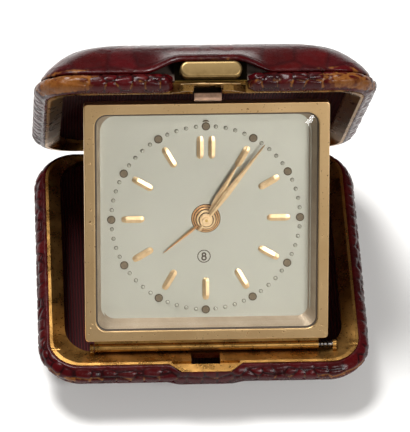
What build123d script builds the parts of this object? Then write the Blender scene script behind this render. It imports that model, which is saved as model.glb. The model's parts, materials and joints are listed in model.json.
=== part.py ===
from build123d import *
import os
from math import cos, pi, radians, sin

os.makedirs("parts", exist_ok=True)

# A folding travel alarm clock, open as in use. The origin is the middle of the base's flat underside,
# with +X to the viewer's right, +Y to the back and +Z up. All lengths are in millimetres.

# The bezel's size drives the case round the clock and the movement behind it
bezel_size = 67.0

# Case: both halves share one rim outline and one domed profile
case_side_room = 9.3
case_end_room = 9.5
rim_width = bezel_size + 2 * case_side_room
rim_length = bezel_size + case_end_room
rim_corner = 8.5
base_depth = 16.5
lid_depth = 16.0
leather_bulge = 3.8
leather_edge = 1.0
leather_thickness = 1.1
board_thickness = 1.2
lining_thickness = 0.4
hinge_setback = 1.2

# Brass rim frames
frame_depth = 3.0
frame_edge = 0.8
flange_width = 4.2
rear_flange_width = 1.1
base_front_flange = 5.5
base_flange_drop = 1.2
lid_flange_drop = 2.0
bump_reach = 2.9
bump_depth = 2.0
bump_width = 20.4
bump_top_width = 13.4
bump_leather = 1.9
brow_rise = 3.0
brow_root = 9.0

# Latch
slot_width = 8.0
slot_length = 3.8
slot_inset = 0.4
notch_depth = 1.5
housing_depth = 9.0
housing_front = 1.1
housing_wall = 0.8
button_width = 16.7
button_height = 4.4
button_rise = 1.5
button_travel = 1.2
button_level = 5.7
button_shift = 0.8
button_stem_width = 8.0
button_stem_height = 2.0
hook_width = 7.3
hook_thickness = 0.9
hook_drop = 1.9
hook_catch = 0.8
sliding_gap = 0.12

# Case hinge
case_knuckle_radius = 1.4
case_pin_radius = 0.75
pin_gap = 0.05
knuckle_gap = 0.25
case_hinge_length = 56.0
case_knuckle_count = 5
knuckle_root_share = 0.9
lid_angle = 60.4

# Clock hinge
clock_angle = 54.6
hinge_inset = 5.8
hinge_rise = 0.3
tube_radius = 1.2
clock_pin_radius = 0.55
tube_inset = 2.5
tube_length = bezel_size - 2 * tube_inset
leaf_thickness = 0.6
edge_to_hinge = 2.25
face_to_hinge = 1.95
lug_thickness = 1.0
clock_side_shift = 0.4
spring_bay = 5.0
lug_reach = clock_side_shift + tube_length / 2 + spring_bay
spring_wire_radius = 0.2
spring_turns = 3
button_spring_turns = 4

# Clock front
bezel_depth = 3.6
bezel_wall = 0.8
bezel_lip = 2.95
bezel_lip_thickness = 1.2
bezel_corner = 1.0
bezel_edge_radius = 0.3
opening_size = bezel_size - 2 * bezel_lip
opening_corner = 3.2
crystal_thickness = 1.2
crystal_rise = 0.9
crystal_bevel = 2.2
fit_gap = 0.1
dial_depth = 6.0
dial_thickness = 0.4
dial_drop = 0.2

# Dial furniture
dial_ring_inset = 4.55
dial_ring_radius = opening_size / 2 - dial_ring_inset
hour_count = 12
dot_radius = 1.15
dot_height = 0.25
baton_inset = 2.8
baton_length = 6.3
baton_outer = dial_ring_radius - baton_inset
baton_inner = baton_outer - baton_length
baton_width = 1.8
baton_height = 0.6
baton_bevel = 0.25
twelve_spacing = 3.2
hour_hand_inset = 8.0
hour_hand_length = dial_ring_radius - hour_hand_inset
hour_hand_width = 2.6
minute_hand_overlap = 0.4
minute_hand_length = dial_ring_radius + minute_hand_overlap
minute_hand_width = 2.3
alarm_hand_inset = 10.8
alarm_hand_length = dial_ring_radius - alarm_hand_inset
alarm_hand_width = 0.8
hand_thickness = 0.35
hand_tail = 3.6
hand_tip_width = 0.3
hour_angle = 29.0
minute_angle = 37.3
alarm_angle = 231.0
alarm_hand_level = 0.7
hour_hand_level = 1.35
minute_hand_level = 2.0
centre_cap_radius = 1.0
centre_cap_height = 0.45
hour_hub_radius = 2.7
minute_hub_radius = 1.9
alarm_hub_radius = 3.3

# Clock case and back
body_step = 2.0
body_size = bezel_size - 2 * body_step
body_wall = 0.8
body_depth = 12.7
body_corner = 2.6
cover_thickness = 0.5
cover_chamfer = 0.3
cover_screw_radius = 1.0
cover_screw_head = 0.35
cover_screw_shank = 0.55
key_hub_radius = 4.6
key_hub_thickness = 0.5
key_wing_thickness = 1.1
key_wing_height = 1.5
knob_radius = 3.1
knob_height = 1.9
knob_ribs = 16
stop_radius = 1.5
stop_stem_radius = 0.7
stop_rise = 1.9
stop_travel = 0.8
regulator_length = 5.2
regulator_width = 1.0
regulator_thickness = 0.4
cover_gap = 0.15

# Movement, as heights below the dial's front
front_plate_level = 2.2
plate_thickness = 0.7
back_plate_level = 6.0
plate_inset = 4.0
plate_size = body_size - 2 * plate_inset
plate_corner = 9.0
pillar_radius = 1.3
pillar_inset = 5.0
pillar_place = plate_size / 2 - pillar_inset
dial_foot_radius = 0.6
dial_foot_inset = 4.5
dial_foot_place = pillar_place - dial_foot_inset
arbor_radius = 0.4
pivot_gap = 0.05
tube_wall = 0.22
wheel_thickness = 0.35
barrel_teeth = 70
barrel_module = 0.3
barrel_level = 3.3
barrel_tooth_depth = 0.7
barrel_height = 2.0
barrel_arbor_radius = 0.9
barrel_angle = 215.0
centre_pinion_teeth = 10
centre_wheel_teeth = 48
centre_module = 0.25
centre_wheel_level = 5.45
third_pinion_teeth = 6
third_wheel_teeth = 45
third_module = 0.22
third_wheel_level = 4.35
third_angle = 50.0
fourth_pinion_teeth = 6
fourth_wheel_teeth = 60
fourth_module = 0.16
fourth_wheel_level = 3.35
fourth_angle = 340.0
escape_pinion_teeth = 6
escape_teeth = 15
escape_radius = 3.2
escape_level = 4.9
escape_angle = 60.0
pallet_reach = 4.0
pallet_angle = 120.0
balance_reach = 5.4
balance_radius = 4.7
balance_rim = 0.7
balance_level = 5.4
hairspring_radius = 2.6
hairspring_turns = 4
hairspring_ribbon = 0.14
hairspring_points = 96
hairspring_level = 4.0
motion_module = 0.2
cannon_teeth = 12
minute_wheel_teeth = 36
minute_pinion_teeth = 10
hour_wheel_teeth = 40
motion_angle = 135.0
alarm_wheel_teeth = 36
alarm_module = 0.21
alarm_knob_angle = 325.0
alarm_wheel_level = 0.55
hour_wheel_level = 1.05
cannon_level = 1.6
alarm_barrel_radius = 9.0
alarm_barrel_insets = (14.0, 15.0)
hammer_insets = (7.5, 13.5)
stop_insets = (10.5, 21.5)
window_count = 4
window_share = 0.52
window_size_share = 0.24
hammer_length = 9.0
hammer_head = 2.4
hammer_level = 4.0
tooth_root_share = 0.52
tooth_tip_share = 0.2
tooth_addendum = 0.9
tooth_dedendum = 1.3

# A generous length for cuts that run right through
overrun = 6.0

# Depth and outline of the domed halves: shares of the depth, of the side bulge and of the hinge setback
profile_shares = (
    (0, 0.26, 0.8),
    (0.16, 1, 1),
    (0.37, 0.42, 1),
    (0.6, -0.42, 0.7),
    (0.82, -1.5, 0.3),
    (1, -3.2, -2),
)

rim_height = base_depth
hinge_reach = rim_length / 2 + hinge_setback
rim_front = rim_length / 2
lid_tilt = radians(lid_angle)
clock_tilt = radians(clock_angle)

# Both half planes start at the middle of the rim, with local +Y to the front and local +Z into the half
base_half = Plane(origin=(0, 0, rim_height), x_dir=(1, 0, 0), z_dir=(0, 0, -1))
lid_half = Plane(
    origin=(0, hinge_reach * (1 - cos(lid_tilt)), rim_height + hinge_reach * sin(lid_tilt)),
    x_dir=(-1, 0, 0),
    z_dir=(0, sin(lid_tilt), cos(lid_tilt)),
)

# The clock hangs on its hinge line, and its plane is the bezel's front face, with local +Z out of the face
clock_hinge_y = hinge_inset - rim_front
clock_hinge_z = rim_height + hinge_rise
face_rise = edge_to_hinge + bezel_size / 2
clock_face = Plane(
    origin=(
        clock_side_shift,
        clock_hinge_y + face_rise * cos(clock_tilt) - face_to_hinge * sin(clock_tilt),
        clock_hinge_z + face_rise * sin(clock_tilt) + face_to_hinge * cos(clock_tilt),
    ),
    x_dir=(1, 0, 0),
    z_dir=(0, -sin(clock_tilt), cos(clock_tilt)),
)
dial_front = Plane(
    origin=clock_face.from_local_coords(Vector(0, -dial_drop, -dial_depth)),
    x_dir=(1, 0, 0),
    z_dir=clock_face.z_dir,
)


def rim_outline(side, rear, front):
    """Rounded outline that stands outside the rim by one offset at the sides, at the back and at the front."""
    with Locations((0, (front - rear) / 2)):
        RectangleRounded(rim_width + 2 * side, rim_length + front + rear, rim_corner + max(side, 0))


def bump_outline(extra, root=frame_edge):
    """Thumb bump at the rim's front, drawn outward by an extra offset."""
    half_root = bump_width / 2 + extra
    half_top = bump_top_width / 2 + extra
    Polygon(
        (-half_root, rim_front - root),
        (-half_root, rim_front),
        (-half_top, rim_front + bump_reach + extra),
        (half_top, rim_front + bump_reach + extra),
        (half_root, rim_front),
        (half_root, rim_front - root),
        align=None,
    )


def half_body(plane, depth, inset):
    """Domed solid of a case half, drawn in by an inset all over."""
    with BuildPart() as body:
        for depth_share, side_share, rear_share in profile_shares:
            side = leather_bulge * side_share - inset
            with BuildSketch(plane.offset(depth * depth_share - inset)):
                rim_outline(side, hinge_setback * rear_share - inset, side)
        loft()
    return body.part


def below_frame(body, plane):
    """The part of a domed solid that lies past the rim frame."""
    with BuildPart() as lower:
        add(body)
        split(bisect_by=plane.offset(frame_depth), keep=Keep.TOP)
    return lower.part


def knuckle_places(first):
    """Middles along the hinge line of every second knuckle."""
    pitch = case_hinge_length / case_knuckle_count
    return [(place + 0.5) * pitch - case_hinge_length / 2 for place in range(first, case_knuckle_count, 2)]


def along_hinge(plane, places, radius, length, mode):
    """Cylinders along the case hinge line."""
    for place in places:
        across = Plane(
            origin=plane.from_local_coords(Vector(place - length / 2, -hinge_reach, 0)), z_dir=plane.x_dir
        )
        with BuildSketch(across) as ring:
            Circle(radius)
        extrude(ring.sketch, amount=length, mode=mode)


knuckle_length = case_hinge_length / case_knuckle_count - knuckle_gap
base_knuckles = knuckle_places(0)
lid_knuckles = knuckle_places(1)


def rim_frame(plane, front_flange, drop, own_knuckles, other_knuckles):
    """Brass rim with its sloping flange, thumb bump, latch slot and hinge knuckles."""
    with BuildPart() as frame:
        with BuildSketch(plane):
            rim_outline(0, 0, 0)
        extrude(amount=frame_depth)
        with BuildSketch(plane):
            bump_outline(0)
        extrude(amount=bump_depth)
        with BuildSketch(plane):
            rim_outline(-frame_edge, -frame_edge / 2, -frame_edge)
        with BuildSketch(plane.offset(drop)):
            rim_outline(-flange_width, -rear_flange_width, -front_flange)
        loft(mode=Mode.SUBTRACT)
        with BuildSketch(plane.offset(drop)):
            rim_outline(-flange_width, -rear_flange_width, -front_flange)
        extrude(amount=frame_depth, mode=Mode.SUBTRACT)
        with BuildSketch(plane):
            bump_outline(-frame_edge)
        extrude(amount=frame_edge, mode=Mode.SUBTRACT)
        with BuildSketch(plane):
            with Locations((0, rim_front - slot_inset - slot_length / 2)):
                Rectangle(slot_width, slot_length)
        extrude(amount=frame_depth, mode=Mode.SUBTRACT)
        along_hinge(plane, other_knuckles, case_knuckle_radius + knuckle_gap / 2,
                    knuckle_length + 2 * knuckle_gap, Mode.SUBTRACT)
        for place in own_knuckles:
            with BuildSketch(plane):
                with Locations((place, -rim_front)):
                    Rectangle(knuckle_length, 2 * hinge_setback)
            extrude(amount=hinge_setback * knuckle_root_share)
        along_hinge(plane, own_knuckles, case_knuckle_radius, knuckle_length, Mode.ADD)
        along_hinge(plane, own_knuckles, case_pin_radius + pin_gap, case_hinge_length, Mode.SUBTRACT)
    return frame.part


def half_leather(plane, whole, core):
    """Leather covering round a half, open at the rim frame and at the hinge."""
    with BuildPart() as leather:
        add(whole)
        add(core, mode=Mode.SUBTRACT)
        with BuildSketch(plane):
            rim_outline(0, 0, 0)
        extrude(amount=frame_depth, mode=Mode.SUBTRACT)
        with BuildSketch(plane):
            bump_outline(0)
        extrude(amount=bump_depth, mode=Mode.SUBTRACT)
        along_hinge(plane, (0,), case_knuckle_radius + knuckle_gap, case_hinge_length + 2 * knuckle_gap,
                    Mode.SUBTRACT)
    return leather.part


def housing_block(width, back, front, start, end, mode):
    """Block round the button at the lid's front, between two depths and two offsets from the rim."""
    with BuildSketch(lid_half.offset(start)) as block:
        with Locations((-button_shift, rim_front + (front - back) / 2)):
            Rectangle(width, front + back)
    extrude(block.sketch, amount=end - start, mode=mode)


def hinge_axis_circle(radius, x_start, x_end, mode):
    """Cylinder along the clock's hinge line."""
    with BuildSketch(Plane.YZ.offset(x_start)) as ring:
        with Locations((clock_hinge_y, clock_hinge_z)):
            Circle(radius)
    extrude(ring.sketch, amount=x_end - x_start, mode=mode)


# Case halves: leather outside, a stiff board shell, the brass rim and a cloth lining
housing_width = button_width + 2 * (housing_wall + sliding_gap + leather_edge / 2)
housing_back = flange_width - sliding_gap
board_inset = leather_thickness + board_thickness
lining_inset = board_inset + lining_thickness

base_domed = half_body(base_half, base_depth, 0)
with BuildPart() as base_covered:
    add(base_domed)
    with BuildSketch(base_half.offset(leather_edge / 2)):
        bump_outline(bump_leather)
    extrude(amount=2 * frame_depth - leather_edge)
base_board_outside = below_frame(half_body(base_half, base_depth, leather_thickness), base_half)
base_board_inside = below_frame(half_body(base_half, base_depth, board_inset), base_half)
base_lining_inside = below_frame(half_body(base_half, base_depth, lining_inset), base_half)
lid_domed = half_body(lid_half, lid_depth, 0)
lid_board_outside = below_frame(half_body(lid_half, lid_depth, leather_thickness), lid_half)
lid_board_inside = below_frame(half_body(lid_half, lid_depth, board_inset), lid_half)
lid_lining_inside = below_frame(half_body(lid_half, lid_depth, lining_inset), lid_half)
base_rim = rim_frame(base_half, base_front_flange, base_flange_drop, base_knuckles, lid_knuckles)
lid_rim = rim_frame(lid_half, flange_width, lid_flange_drop, [-place for place in lid_knuckles],
                    [-place for place in base_knuckles])
base_leather_shell = half_leather(base_half, base_covered.part, base_board_outside)
lid_leather_shell = half_leather(lid_half, lid_domed, lid_board_outside)

with BuildPart() as base_leather:
    add(base_leather_shell)
base_leather.part.label = "base_leather"

with BuildPart() as base_shell:
    add(base_board_outside)
    add(base_board_inside, mode=Mode.SUBTRACT)
base_shell.part.label = "base_shell"

with BuildPart() as base_lining:
    add(base_board_inside)
    add(base_lining_inside, mode=Mode.SUBTRACT)
base_lining.part.label = "base_lining"

# The lid's leather stops at the button's notch and rises over it in a brow
with BuildPart() as lid_leather:
    add(lid_leather_shell)
    with BuildSketch(lid_half.offset(housing_depth)):
        bump_outline(leather_thickness, brow_root)
    with BuildSketch(lid_half.offset(housing_depth + brow_rise)):
        bump_outline(-bump_reach, brow_root)
    loft()
    add(lid_board_outside, mode=Mode.SUBTRACT)
    housing_block(bump_width + 2 * button_shift, housing_back, overrun, 0, housing_depth, Mode.SUBTRACT)
lid_leather.part.label = "lid_leather"

with BuildPart() as lid_shell:
    add(lid_board_outside)
    add(lid_board_inside, mode=Mode.SUBTRACT)
    housing_block(housing_width, housing_back, overrun, frame_depth, housing_depth, Mode.SUBTRACT)
lid_shell.part.label = "lid_shell"

with BuildPart() as lid_lining:
    add(lid_board_inside)
    add(lid_lining_inside, mode=Mode.SUBTRACT)
    housing_block(housing_width, housing_back, overrun, frame_depth, housing_depth, Mode.SUBTRACT)
lid_lining.part.label = "lid_lining"

# Base rim with the two lugs that carry the clock's hinge pin
lug_inner_edges = (-tube_length / 2 + clock_side_shift - knuckle_gap - lug_thickness, lug_reach - lug_thickness)
with BuildPart() as base_frame:
    add(base_rim)
    for lug_edge in lug_inner_edges:
        with BuildSketch(Plane.YZ.offset(lug_edge)):
            with Locations((clock_hinge_y, clock_hinge_z)):
                Circle(tube_radius)
            with Locations((clock_hinge_y - (hinge_inset - base_front_flange + frame_edge) / 2,
                            clock_hinge_z - (frame_depth + hinge_rise) / 2)):
                Rectangle(hinge_inset - base_front_flange + frame_edge + tube_radius, frame_depth + hinge_rise)
        extrude(amount=lug_thickness)
    hinge_axis_circle(clock_pin_radius, -rim_width / 2, rim_width / 2, Mode.SUBTRACT)
base_frame.part.label = "base_frame"

# The lid's slot is open to the front, so that the hook shows in a notch
with BuildPart() as lid_frame:
    add(lid_rim)
    with BuildSketch(lid_half):
        with Locations((0, rim_front + bump_reach / 2)):
            Rectangle(slot_width, bump_reach + 2 * slot_inset)
    extrude(amount=notch_depth, mode=Mode.SUBTRACT)
lid_frame.part.label = "lid_frame"

# Latch: a brass housing behind the lid's notch, and one slider that is button, stem and hook
with BuildPart() as latch_housing:
    housing_block(housing_width, housing_back, housing_front, frame_depth, housing_depth, Mode.ADD)
    housing_block(housing_width - 2 * housing_wall, housing_back - housing_wall, housing_front - housing_wall,
                  frame_depth, housing_depth - housing_wall, Mode.SUBTRACT)
    button_face = Plane(
        origin=lid_half.from_local_coords(Vector(-button_shift, rim_front, button_level)),
        x_dir=lid_half.x_dir,
        z_dir=lid_half.y_dir,
    )
    with BuildSketch(button_face):
        SlotOverall(button_width + 2 * sliding_gap, button_height + 2 * sliding_gap)
    extrude(amount=housing_front, mode=Mode.SUBTRACT)
latch_housing.part.label = "latch_housing"

button_back = housing_front - housing_wall - button_travel / 3
with BuildPart() as push_button:
    with BuildSketch(button_face.offset(button_back)):
        SlotOverall(button_width, button_height)
    extrude(amount=bump_reach + button_rise - button_back)
    fillet(push_button.faces().sort_by(Axis(button_face.origin, button_face.z_dir))[-1].edges(),
           radius=button_rise / 2)
    with BuildSketch(button_face.offset(-slot_inset)):
        with Locations((button_shift, 0)):
            Rectangle(button_stem_width, button_stem_height)
    extrude(amount=button_back + slot_inset)
push_button.part.label = "push_button"

# The hook plate runs from the button's stem out through the rim's slot, with a nose at its end
with BuildPart() as latch_hook:
    with BuildSketch(lid_half.offset(-hook_drop)):
        with Locations((0, rim_front - slot_inset - sliding_gap - hook_thickness / 2)):
            Rectangle(hook_width, hook_thickness)
    extrude(amount=hook_drop + button_level + button_stem_height / 2)
    with BuildSketch(lid_half.offset(-hook_drop)):
        with Locations((0, rim_front - slot_inset - sliding_gap + hook_catch / 2)):
            Rectangle(hook_width, hook_catch)
    extrude(amount=hook_catch)
    chamfer(latch_hook.edges().group_by(Axis(lid_half.origin, lid_half.z_dir))[0].group_by(
        Axis(lid_half.origin, lid_half.y_dir))[-1], length=hook_catch / 2)
latch_hook.part.label = "latch_hook"

# Two coil springs push the button out, one at each side of its stem
spring_length = button_back + housing_back - housing_wall
spring_place = (button_stem_width + button_height) / 2
button_coil_length = spring_length - 2 * spring_wire_radius
button_coil_start = button_back - spring_length + spring_wire_radius
with BuildPart() as button_springs:
    for side in (-1, 1):
        with BuildLine():
            button_coil = Helix(
                button_coil_length / button_spring_turns,
                button_coil_length,
                tube_radius - spring_wire_radius,
                center=button_face.from_local_coords(Vector(side * spring_place, 0, button_coil_start)),
                direction=button_face.z_dir,
            )
        with BuildSketch(Plane(origin=button_coil @ 0, z_dir=button_coil % 0)):
            Circle(spring_wire_radius)
        sweep(path=button_coil)
button_springs.part.label = "button_springs"

# Case hinge pin
with BuildPart() as case_hinge_pin:
    along_hinge(base_half, (0,), case_pin_radius, case_hinge_length, Mode.ADD)
case_hinge_pin.part.label = "case_hinge_pin"

# Clock hinge: tube and leaf below the bezel, pin, and the spring that lifts the clock
tube_start = clock_side_shift - tube_length / 2
tube_end = clock_side_shift + tube_length / 2
with BuildPart() as clock_hinge_leaf:
    with BuildSketch(clock_face.offset(-face_to_hinge - leaf_thickness / 2)):
        with Locations((0, -(bezel_size + edge_to_hinge) / 2)):
            Rectangle(tube_length, edge_to_hinge)
    extrude(amount=leaf_thickness)
    hinge_axis_circle(tube_radius, tube_start, tube_end, Mode.ADD)
    hinge_axis_circle(clock_pin_radius + pin_gap, tube_start, tube_end, Mode.SUBTRACT)
clock_hinge_leaf.part.label = "clock_hinge_leaf"

with BuildPart() as clock_hinge_pin:
    hinge_axis_circle(clock_pin_radius, lug_inner_edges[0], lug_reach, Mode.ADD)
clock_hinge_pin.part.label = "clock_hinge_pin"

spring_radius = clock_pin_radius + 2 * pin_gap + spring_wire_radius
spring_room = lug_inner_edges[1] - tube_end - 2 * knuckle_gap
spring_coil_length = spring_room - 2 * spring_wire_radius
with BuildPart() as clock_spring:
    with BuildLine():
        coil = Helix(
            spring_coil_length / spring_turns,
            spring_coil_length,
            spring_radius,
            center=(tube_end + knuckle_gap + spring_wire_radius, clock_hinge_y, clock_hinge_z),
            direction=(1, 0, 0),
        )
    with BuildSketch(Plane(origin=coil @ 0, z_dir=coil % 0)):
        Circle(spring_wire_radius)
    sweep(path=coil)
clock_spring.part.label = "clock_spring"

# Bezel: a square pan with a flat lip round the opening
with BuildPart() as bezel:
    with BuildSketch(clock_face):
        RectangleRounded(bezel_size, bezel_size, bezel_corner)
    extrude(amount=-bezel_depth)
    with BuildSketch(clock_face):
        RectangleRounded(opening_size, opening_size, opening_corner)
    extrude(amount=-bezel_depth, mode=Mode.SUBTRACT)
    with BuildSketch(clock_face.offset(-bezel_lip_thickness)):
        Rectangle(bezel_size - 2 * bezel_wall, bezel_size - 2 * bezel_wall)
    extrude(amount=-bezel_depth, mode=Mode.SUBTRACT)
    bezel_front = bezel.faces().sort_by(Axis(clock_face.origin, clock_face.z_dir))[-1]
    fillet(bezel_front.edges(), radius=bezel_edge_radius)
bezel.part.label = "bezel"

# Crystal: a plate seated behind the lip, with its middle raised by a broad bevel
pan_inside = bezel_size - 2 * bezel_wall - 2 * fit_gap
crystal_step = opening_size - 2 * fit_gap
with BuildPart() as crystal:
    with BuildSketch(clock_face.offset(-bezel_lip_thickness)):
        Rectangle(pan_inside, pan_inside)
    extrude(amount=-crystal_thickness)
    with BuildSketch(clock_face.offset(-bezel_lip_thickness)):
        RectangleRounded(crystal_step, crystal_step, opening_corner)
    with BuildSketch(clock_face.offset(crystal_rise - bezel_lip_thickness)):
        RectangleRounded(crystal_step - 2 * crystal_bevel, crystal_step - 2 * crystal_bevel, opening_corner)
    loft()
crystal.part.label = "crystal"

# Inner frame: the sloping walls between the crystal and the dial
crystal_back = bezel_lip_thickness + crystal_thickness
body_inside = body_size - 2 * body_wall
inner_frame_size = body_inside - 2 * fit_gap
dial_window = opening_size - 2 * crystal_bevel
with BuildPart() as inner_frame:
    with BuildSketch(clock_face.offset(-crystal_back)):
        Rectangle(inner_frame_size, inner_frame_size)
    extrude(amount=crystal_back - dial_depth)
    with BuildSketch(clock_face.offset(-crystal_back)):
        RectangleRounded(opening_size - fit_gap, opening_size - fit_gap, opening_corner)
    with BuildSketch(clock_face.offset(-dial_depth)):
        with Locations((0, -dial_drop / 2)):
            RectangleRounded(dial_window, dial_window, opening_corner)
    loft(mode=Mode.SUBTRACT)
inner_frame.part.label = "inner_frame"

# Tubes round the centre arbor, one inside the next
cannon_radius = arbor_radius + tube_wall
hour_bore = cannon_radius + pivot_gap
hour_tube_radius = hour_bore + tube_wall
alarm_bore = hour_tube_radius + pivot_gap
alarm_tube_radius = alarm_bore + tube_wall
dial_hole_radius = alarm_tube_radius + pivot_gap


def turned(place, start, end, radius, mode=Mode.ADD):
    """Cylinder of the movement between two levels below the dial's front."""
    with BuildSketch(dial_front.offset(-start)) as ring:
        with Locations(place):
            Circle(radius)
    extrude(ring.sketch, amount=start - end, mode=mode)


def toothed(place, level, thickness, teeth, module, phase):
    """Toothed disc at a level, with one tooth's middle at the phase angle."""
    root_radius = module * (teeth / 2 - tooth_dedendum)
    tip_radius = module * (teeth / 2 + tooth_addendum)
    pitch = 360 / teeth
    points = []
    for tooth in range(teeth):
        middle = phase + tooth * pitch
        for radius, share in ((root_radius, -tooth_root_share), (tip_radius, -tooth_tip_share),
                              (tip_radius, tooth_tip_share), (root_radius, tooth_root_share)):
            angle = radians(middle + share * pitch / 2)
            points.append((radius * cos(angle), radius * sin(angle)))
    with BuildSketch(dial_front.offset(-level)) as disc:
        with Locations(place):
            Polygon(*points, align=None)
    extrude(disc.sketch, amount=-thickness)


def crossed(place, level, teeth, module):
    """Round windows that lighten a wheel between its hub and its rim."""
    wheel_radius = module * teeth / 2
    with BuildSketch(dial_front.offset(-level)) as windows:
        with Locations(place):
            with PolarLocations(wheel_radius * window_share, window_count):
                Circle(wheel_radius * window_size_share)
    extrude(windows.sketch, amount=-wheel_thickness, mode=Mode.SUBTRACT)


def mesh_phase(phase, teeth, angle, next_teeth):
    """Phase of the next wheel, so that its gap meets a tooth on the line of centres."""
    part_pitch = (phase - angle) * teeth / 360
    return angle + 180 + (0.5 - part_pitch) * 360 / next_teeth


def meshed(place, angle, module, teeth, next_teeth):
    """Place of the next wheel of a meshing pair, at an angle from the first."""
    return place_from(place, angle, module * (teeth + next_teeth) / 2)


def place_from(place, angle, distance):
    """Place at an angle and distance from another one."""
    return (place[0] + distance * cos(radians(angle)), place[1] + distance * sin(radians(angle)))


# Places near the plates' edges, counted in from their corners
alarm_barrel_place = (plate_size / 2 - alarm_barrel_insets[0], alarm_barrel_insets[1] - plate_size / 2)
hammer_place = (hammer_insets[0] - plate_size / 2, plate_size / 2 - hammer_insets[1])
stop_place = (stop_insets[0] - plate_size / 2, plate_size / 2 - stop_insets[1])

# Places and phases of the wheels, outward from the centre
centre_place = (0, 0)
barrel_place = meshed(centre_place, barrel_angle, barrel_module, barrel_teeth, centre_pinion_teeth)
third_place = meshed(centre_place, third_angle, centre_module, centre_wheel_teeth, third_pinion_teeth)
fourth_place = meshed(third_place, fourth_angle, third_module, third_wheel_teeth, fourth_pinion_teeth)
escape_place = meshed(fourth_place, escape_angle, fourth_module, fourth_wheel_teeth, escape_pinion_teeth)
pallet_place = place_from(escape_place, pallet_angle, pallet_reach)
balance_place = place_from(pallet_place, pallet_angle, balance_reach)
motion_place = meshed(centre_place, motion_angle, motion_module, cannon_teeth, minute_wheel_teeth)
pinion_share = (cannon_teeth + minute_wheel_teeth) / (minute_pinion_teeth + hour_wheel_teeth)
minute_pinion_module = motion_module * pinion_share
alarm_knob_place = meshed(centre_place, alarm_knob_angle, alarm_module, alarm_wheel_teeth, alarm_wheel_teeth)
barrel_phase = mesh_phase(0, centre_pinion_teeth, barrel_angle, barrel_teeth)
third_phase = mesh_phase(0, centre_wheel_teeth, third_angle, third_pinion_teeth)
fourth_phase = mesh_phase(0, third_wheel_teeth, fourth_angle, fourth_pinion_teeth)
escape_phase = mesh_phase(0, fourth_wheel_teeth, escape_angle, escape_pinion_teeth)
minute_wheel_phase = mesh_phase(0, cannon_teeth, motion_angle, minute_wheel_teeth)
hour_wheel_phase = mesh_phase(0, minute_pinion_teeth, motion_angle + 180, hour_wheel_teeth)
alarm_pinion_phase = mesh_phase(0, alarm_wheel_teeth, alarm_knob_angle, alarm_wheel_teeth)
pivot_start = front_plate_level + fit_gap
back_plate_outside = back_plate_level + plate_thickness
pivot_end = back_plate_outside - fit_gap
barrel_end = barrel_level + barrel_height
cover_inside = body_depth - dial_depth
cover_outside = cover_inside + cover_thickness
key_level = cover_outside + cover_gap
nut_level = -minute_hand_level - hand_thickness
arbor_top = nut_level - centre_cap_height

# Dial with three feet that stand on the front plate
with BuildPart() as dial:
    with BuildSketch(clock_face.offset(-dial_depth)):
        Rectangle(inner_frame_size, inner_frame_size)
    extrude(amount=-dial_thickness)
    for x, y in ((0, 1), (-1, -1), (1, -1)):
        place = (x * dial_foot_place, y * dial_foot_place)
        turned(place, dial_thickness, front_plate_level, dial_foot_radius)
    turned(centre_place, 0, dial_thickness, dial_hole_radius, Mode.SUBTRACT)
dial.part.label = "dial"

# Applied batons, doubled at the twelve
with BuildPart() as hour_batons:
    for hour in range(hour_count):
        sides = (-1, 1) if hour == 0 else (0,)
        for side in sides:
            with BuildSketch(dial_front):
                with Locations(Location((0, 0, 0), (0, 0, -360 / hour_count * hour))):
                    with Locations((side * twelve_spacing / 2, (baton_outer + baton_inner) / 2)):
                        Rectangle(baton_width, baton_outer - baton_inner)
    extrude(amount=baton_height)
    baton_tops = hour_batons.faces().group_by(Axis(dial_front.origin, dial_front.z_dir))[-1]
    chamfer(baton_tops.edges(), length=baton_bevel)
hour_batons.part.label = "hour_batons"

with BuildPart() as hour_dots:
    with BuildSketch(dial_front):
        with PolarLocations(dial_ring_radius, hour_count):
            Circle(dot_radius)
    extrude(amount=dot_height)
hour_dots.part.label = "hour_dots"

# Hands: lance-shaped, each on its own tube
hand_shares = ((0.1, 0.5), (0.32, 1), (1, 0.12))


def hand(angle, level, length, width, hub_radius, bore, tail):
    """Pointer at a height above the dial, turned clockwise from twelve."""
    right = [(width / 2 * wide, length * along) for along, wide in hand_shares]
    left = [(-x, y) for x, y in reversed(right)]
    with BuildSketch(dial_front.offset(level)) as outline:
        with Locations(Location((0, 0, 0), (0, 0, -angle))):
            Polygon(*right, *left, (-hand_tip_width, -tail), (hand_tip_width, -tail), align=None)
        Circle(hub_radius)
        Circle(bore, mode=Mode.SUBTRACT)
    extrude(outline.sketch, amount=hand_thickness)


with BuildPart() as hour_hand:
    hand(hour_angle, hour_hand_level, hour_hand_length, hour_hand_width, hour_hub_radius, hour_tube_radius,
         hand_tail)
hour_hand.part.label = "hour_hand"

with BuildPart() as minute_hand:
    hand(minute_angle, minute_hand_level, minute_hand_length, minute_hand_width, minute_hub_radius,
         cannon_radius, hand_tail)
minute_hand.part.label = "minute_hand"

with BuildPart() as alarm_hand:
    hand(alarm_angle, alarm_hand_level, alarm_hand_length, alarm_hand_width, alarm_hub_radius,
         alarm_tube_radius, 0)
alarm_hand.part.label = "alarm_hand"

with BuildPart() as hand_nut:
    turned(centre_place, arbor_top, nut_level, centre_cap_radius)
    turned(centre_place, arbor_top, nut_level, arbor_radius, Mode.SUBTRACT)
hand_nut.part.label = "hand_nut"

# Motion work between the dial and the front plate
with BuildPart() as alarm_wheel:
    toothed(centre_place, alarm_wheel_level, wheel_thickness, alarm_wheel_teeth, alarm_module, 0)
    turned(centre_place, -alarm_hand_level - hand_thickness, alarm_wheel_level, alarm_tube_radius)
    turned(centre_place, -alarm_hand_level - hand_thickness, alarm_wheel_level + wheel_thickness, alarm_bore,
           Mode.SUBTRACT)
alarm_wheel.part.label = "alarm_wheel"

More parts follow.
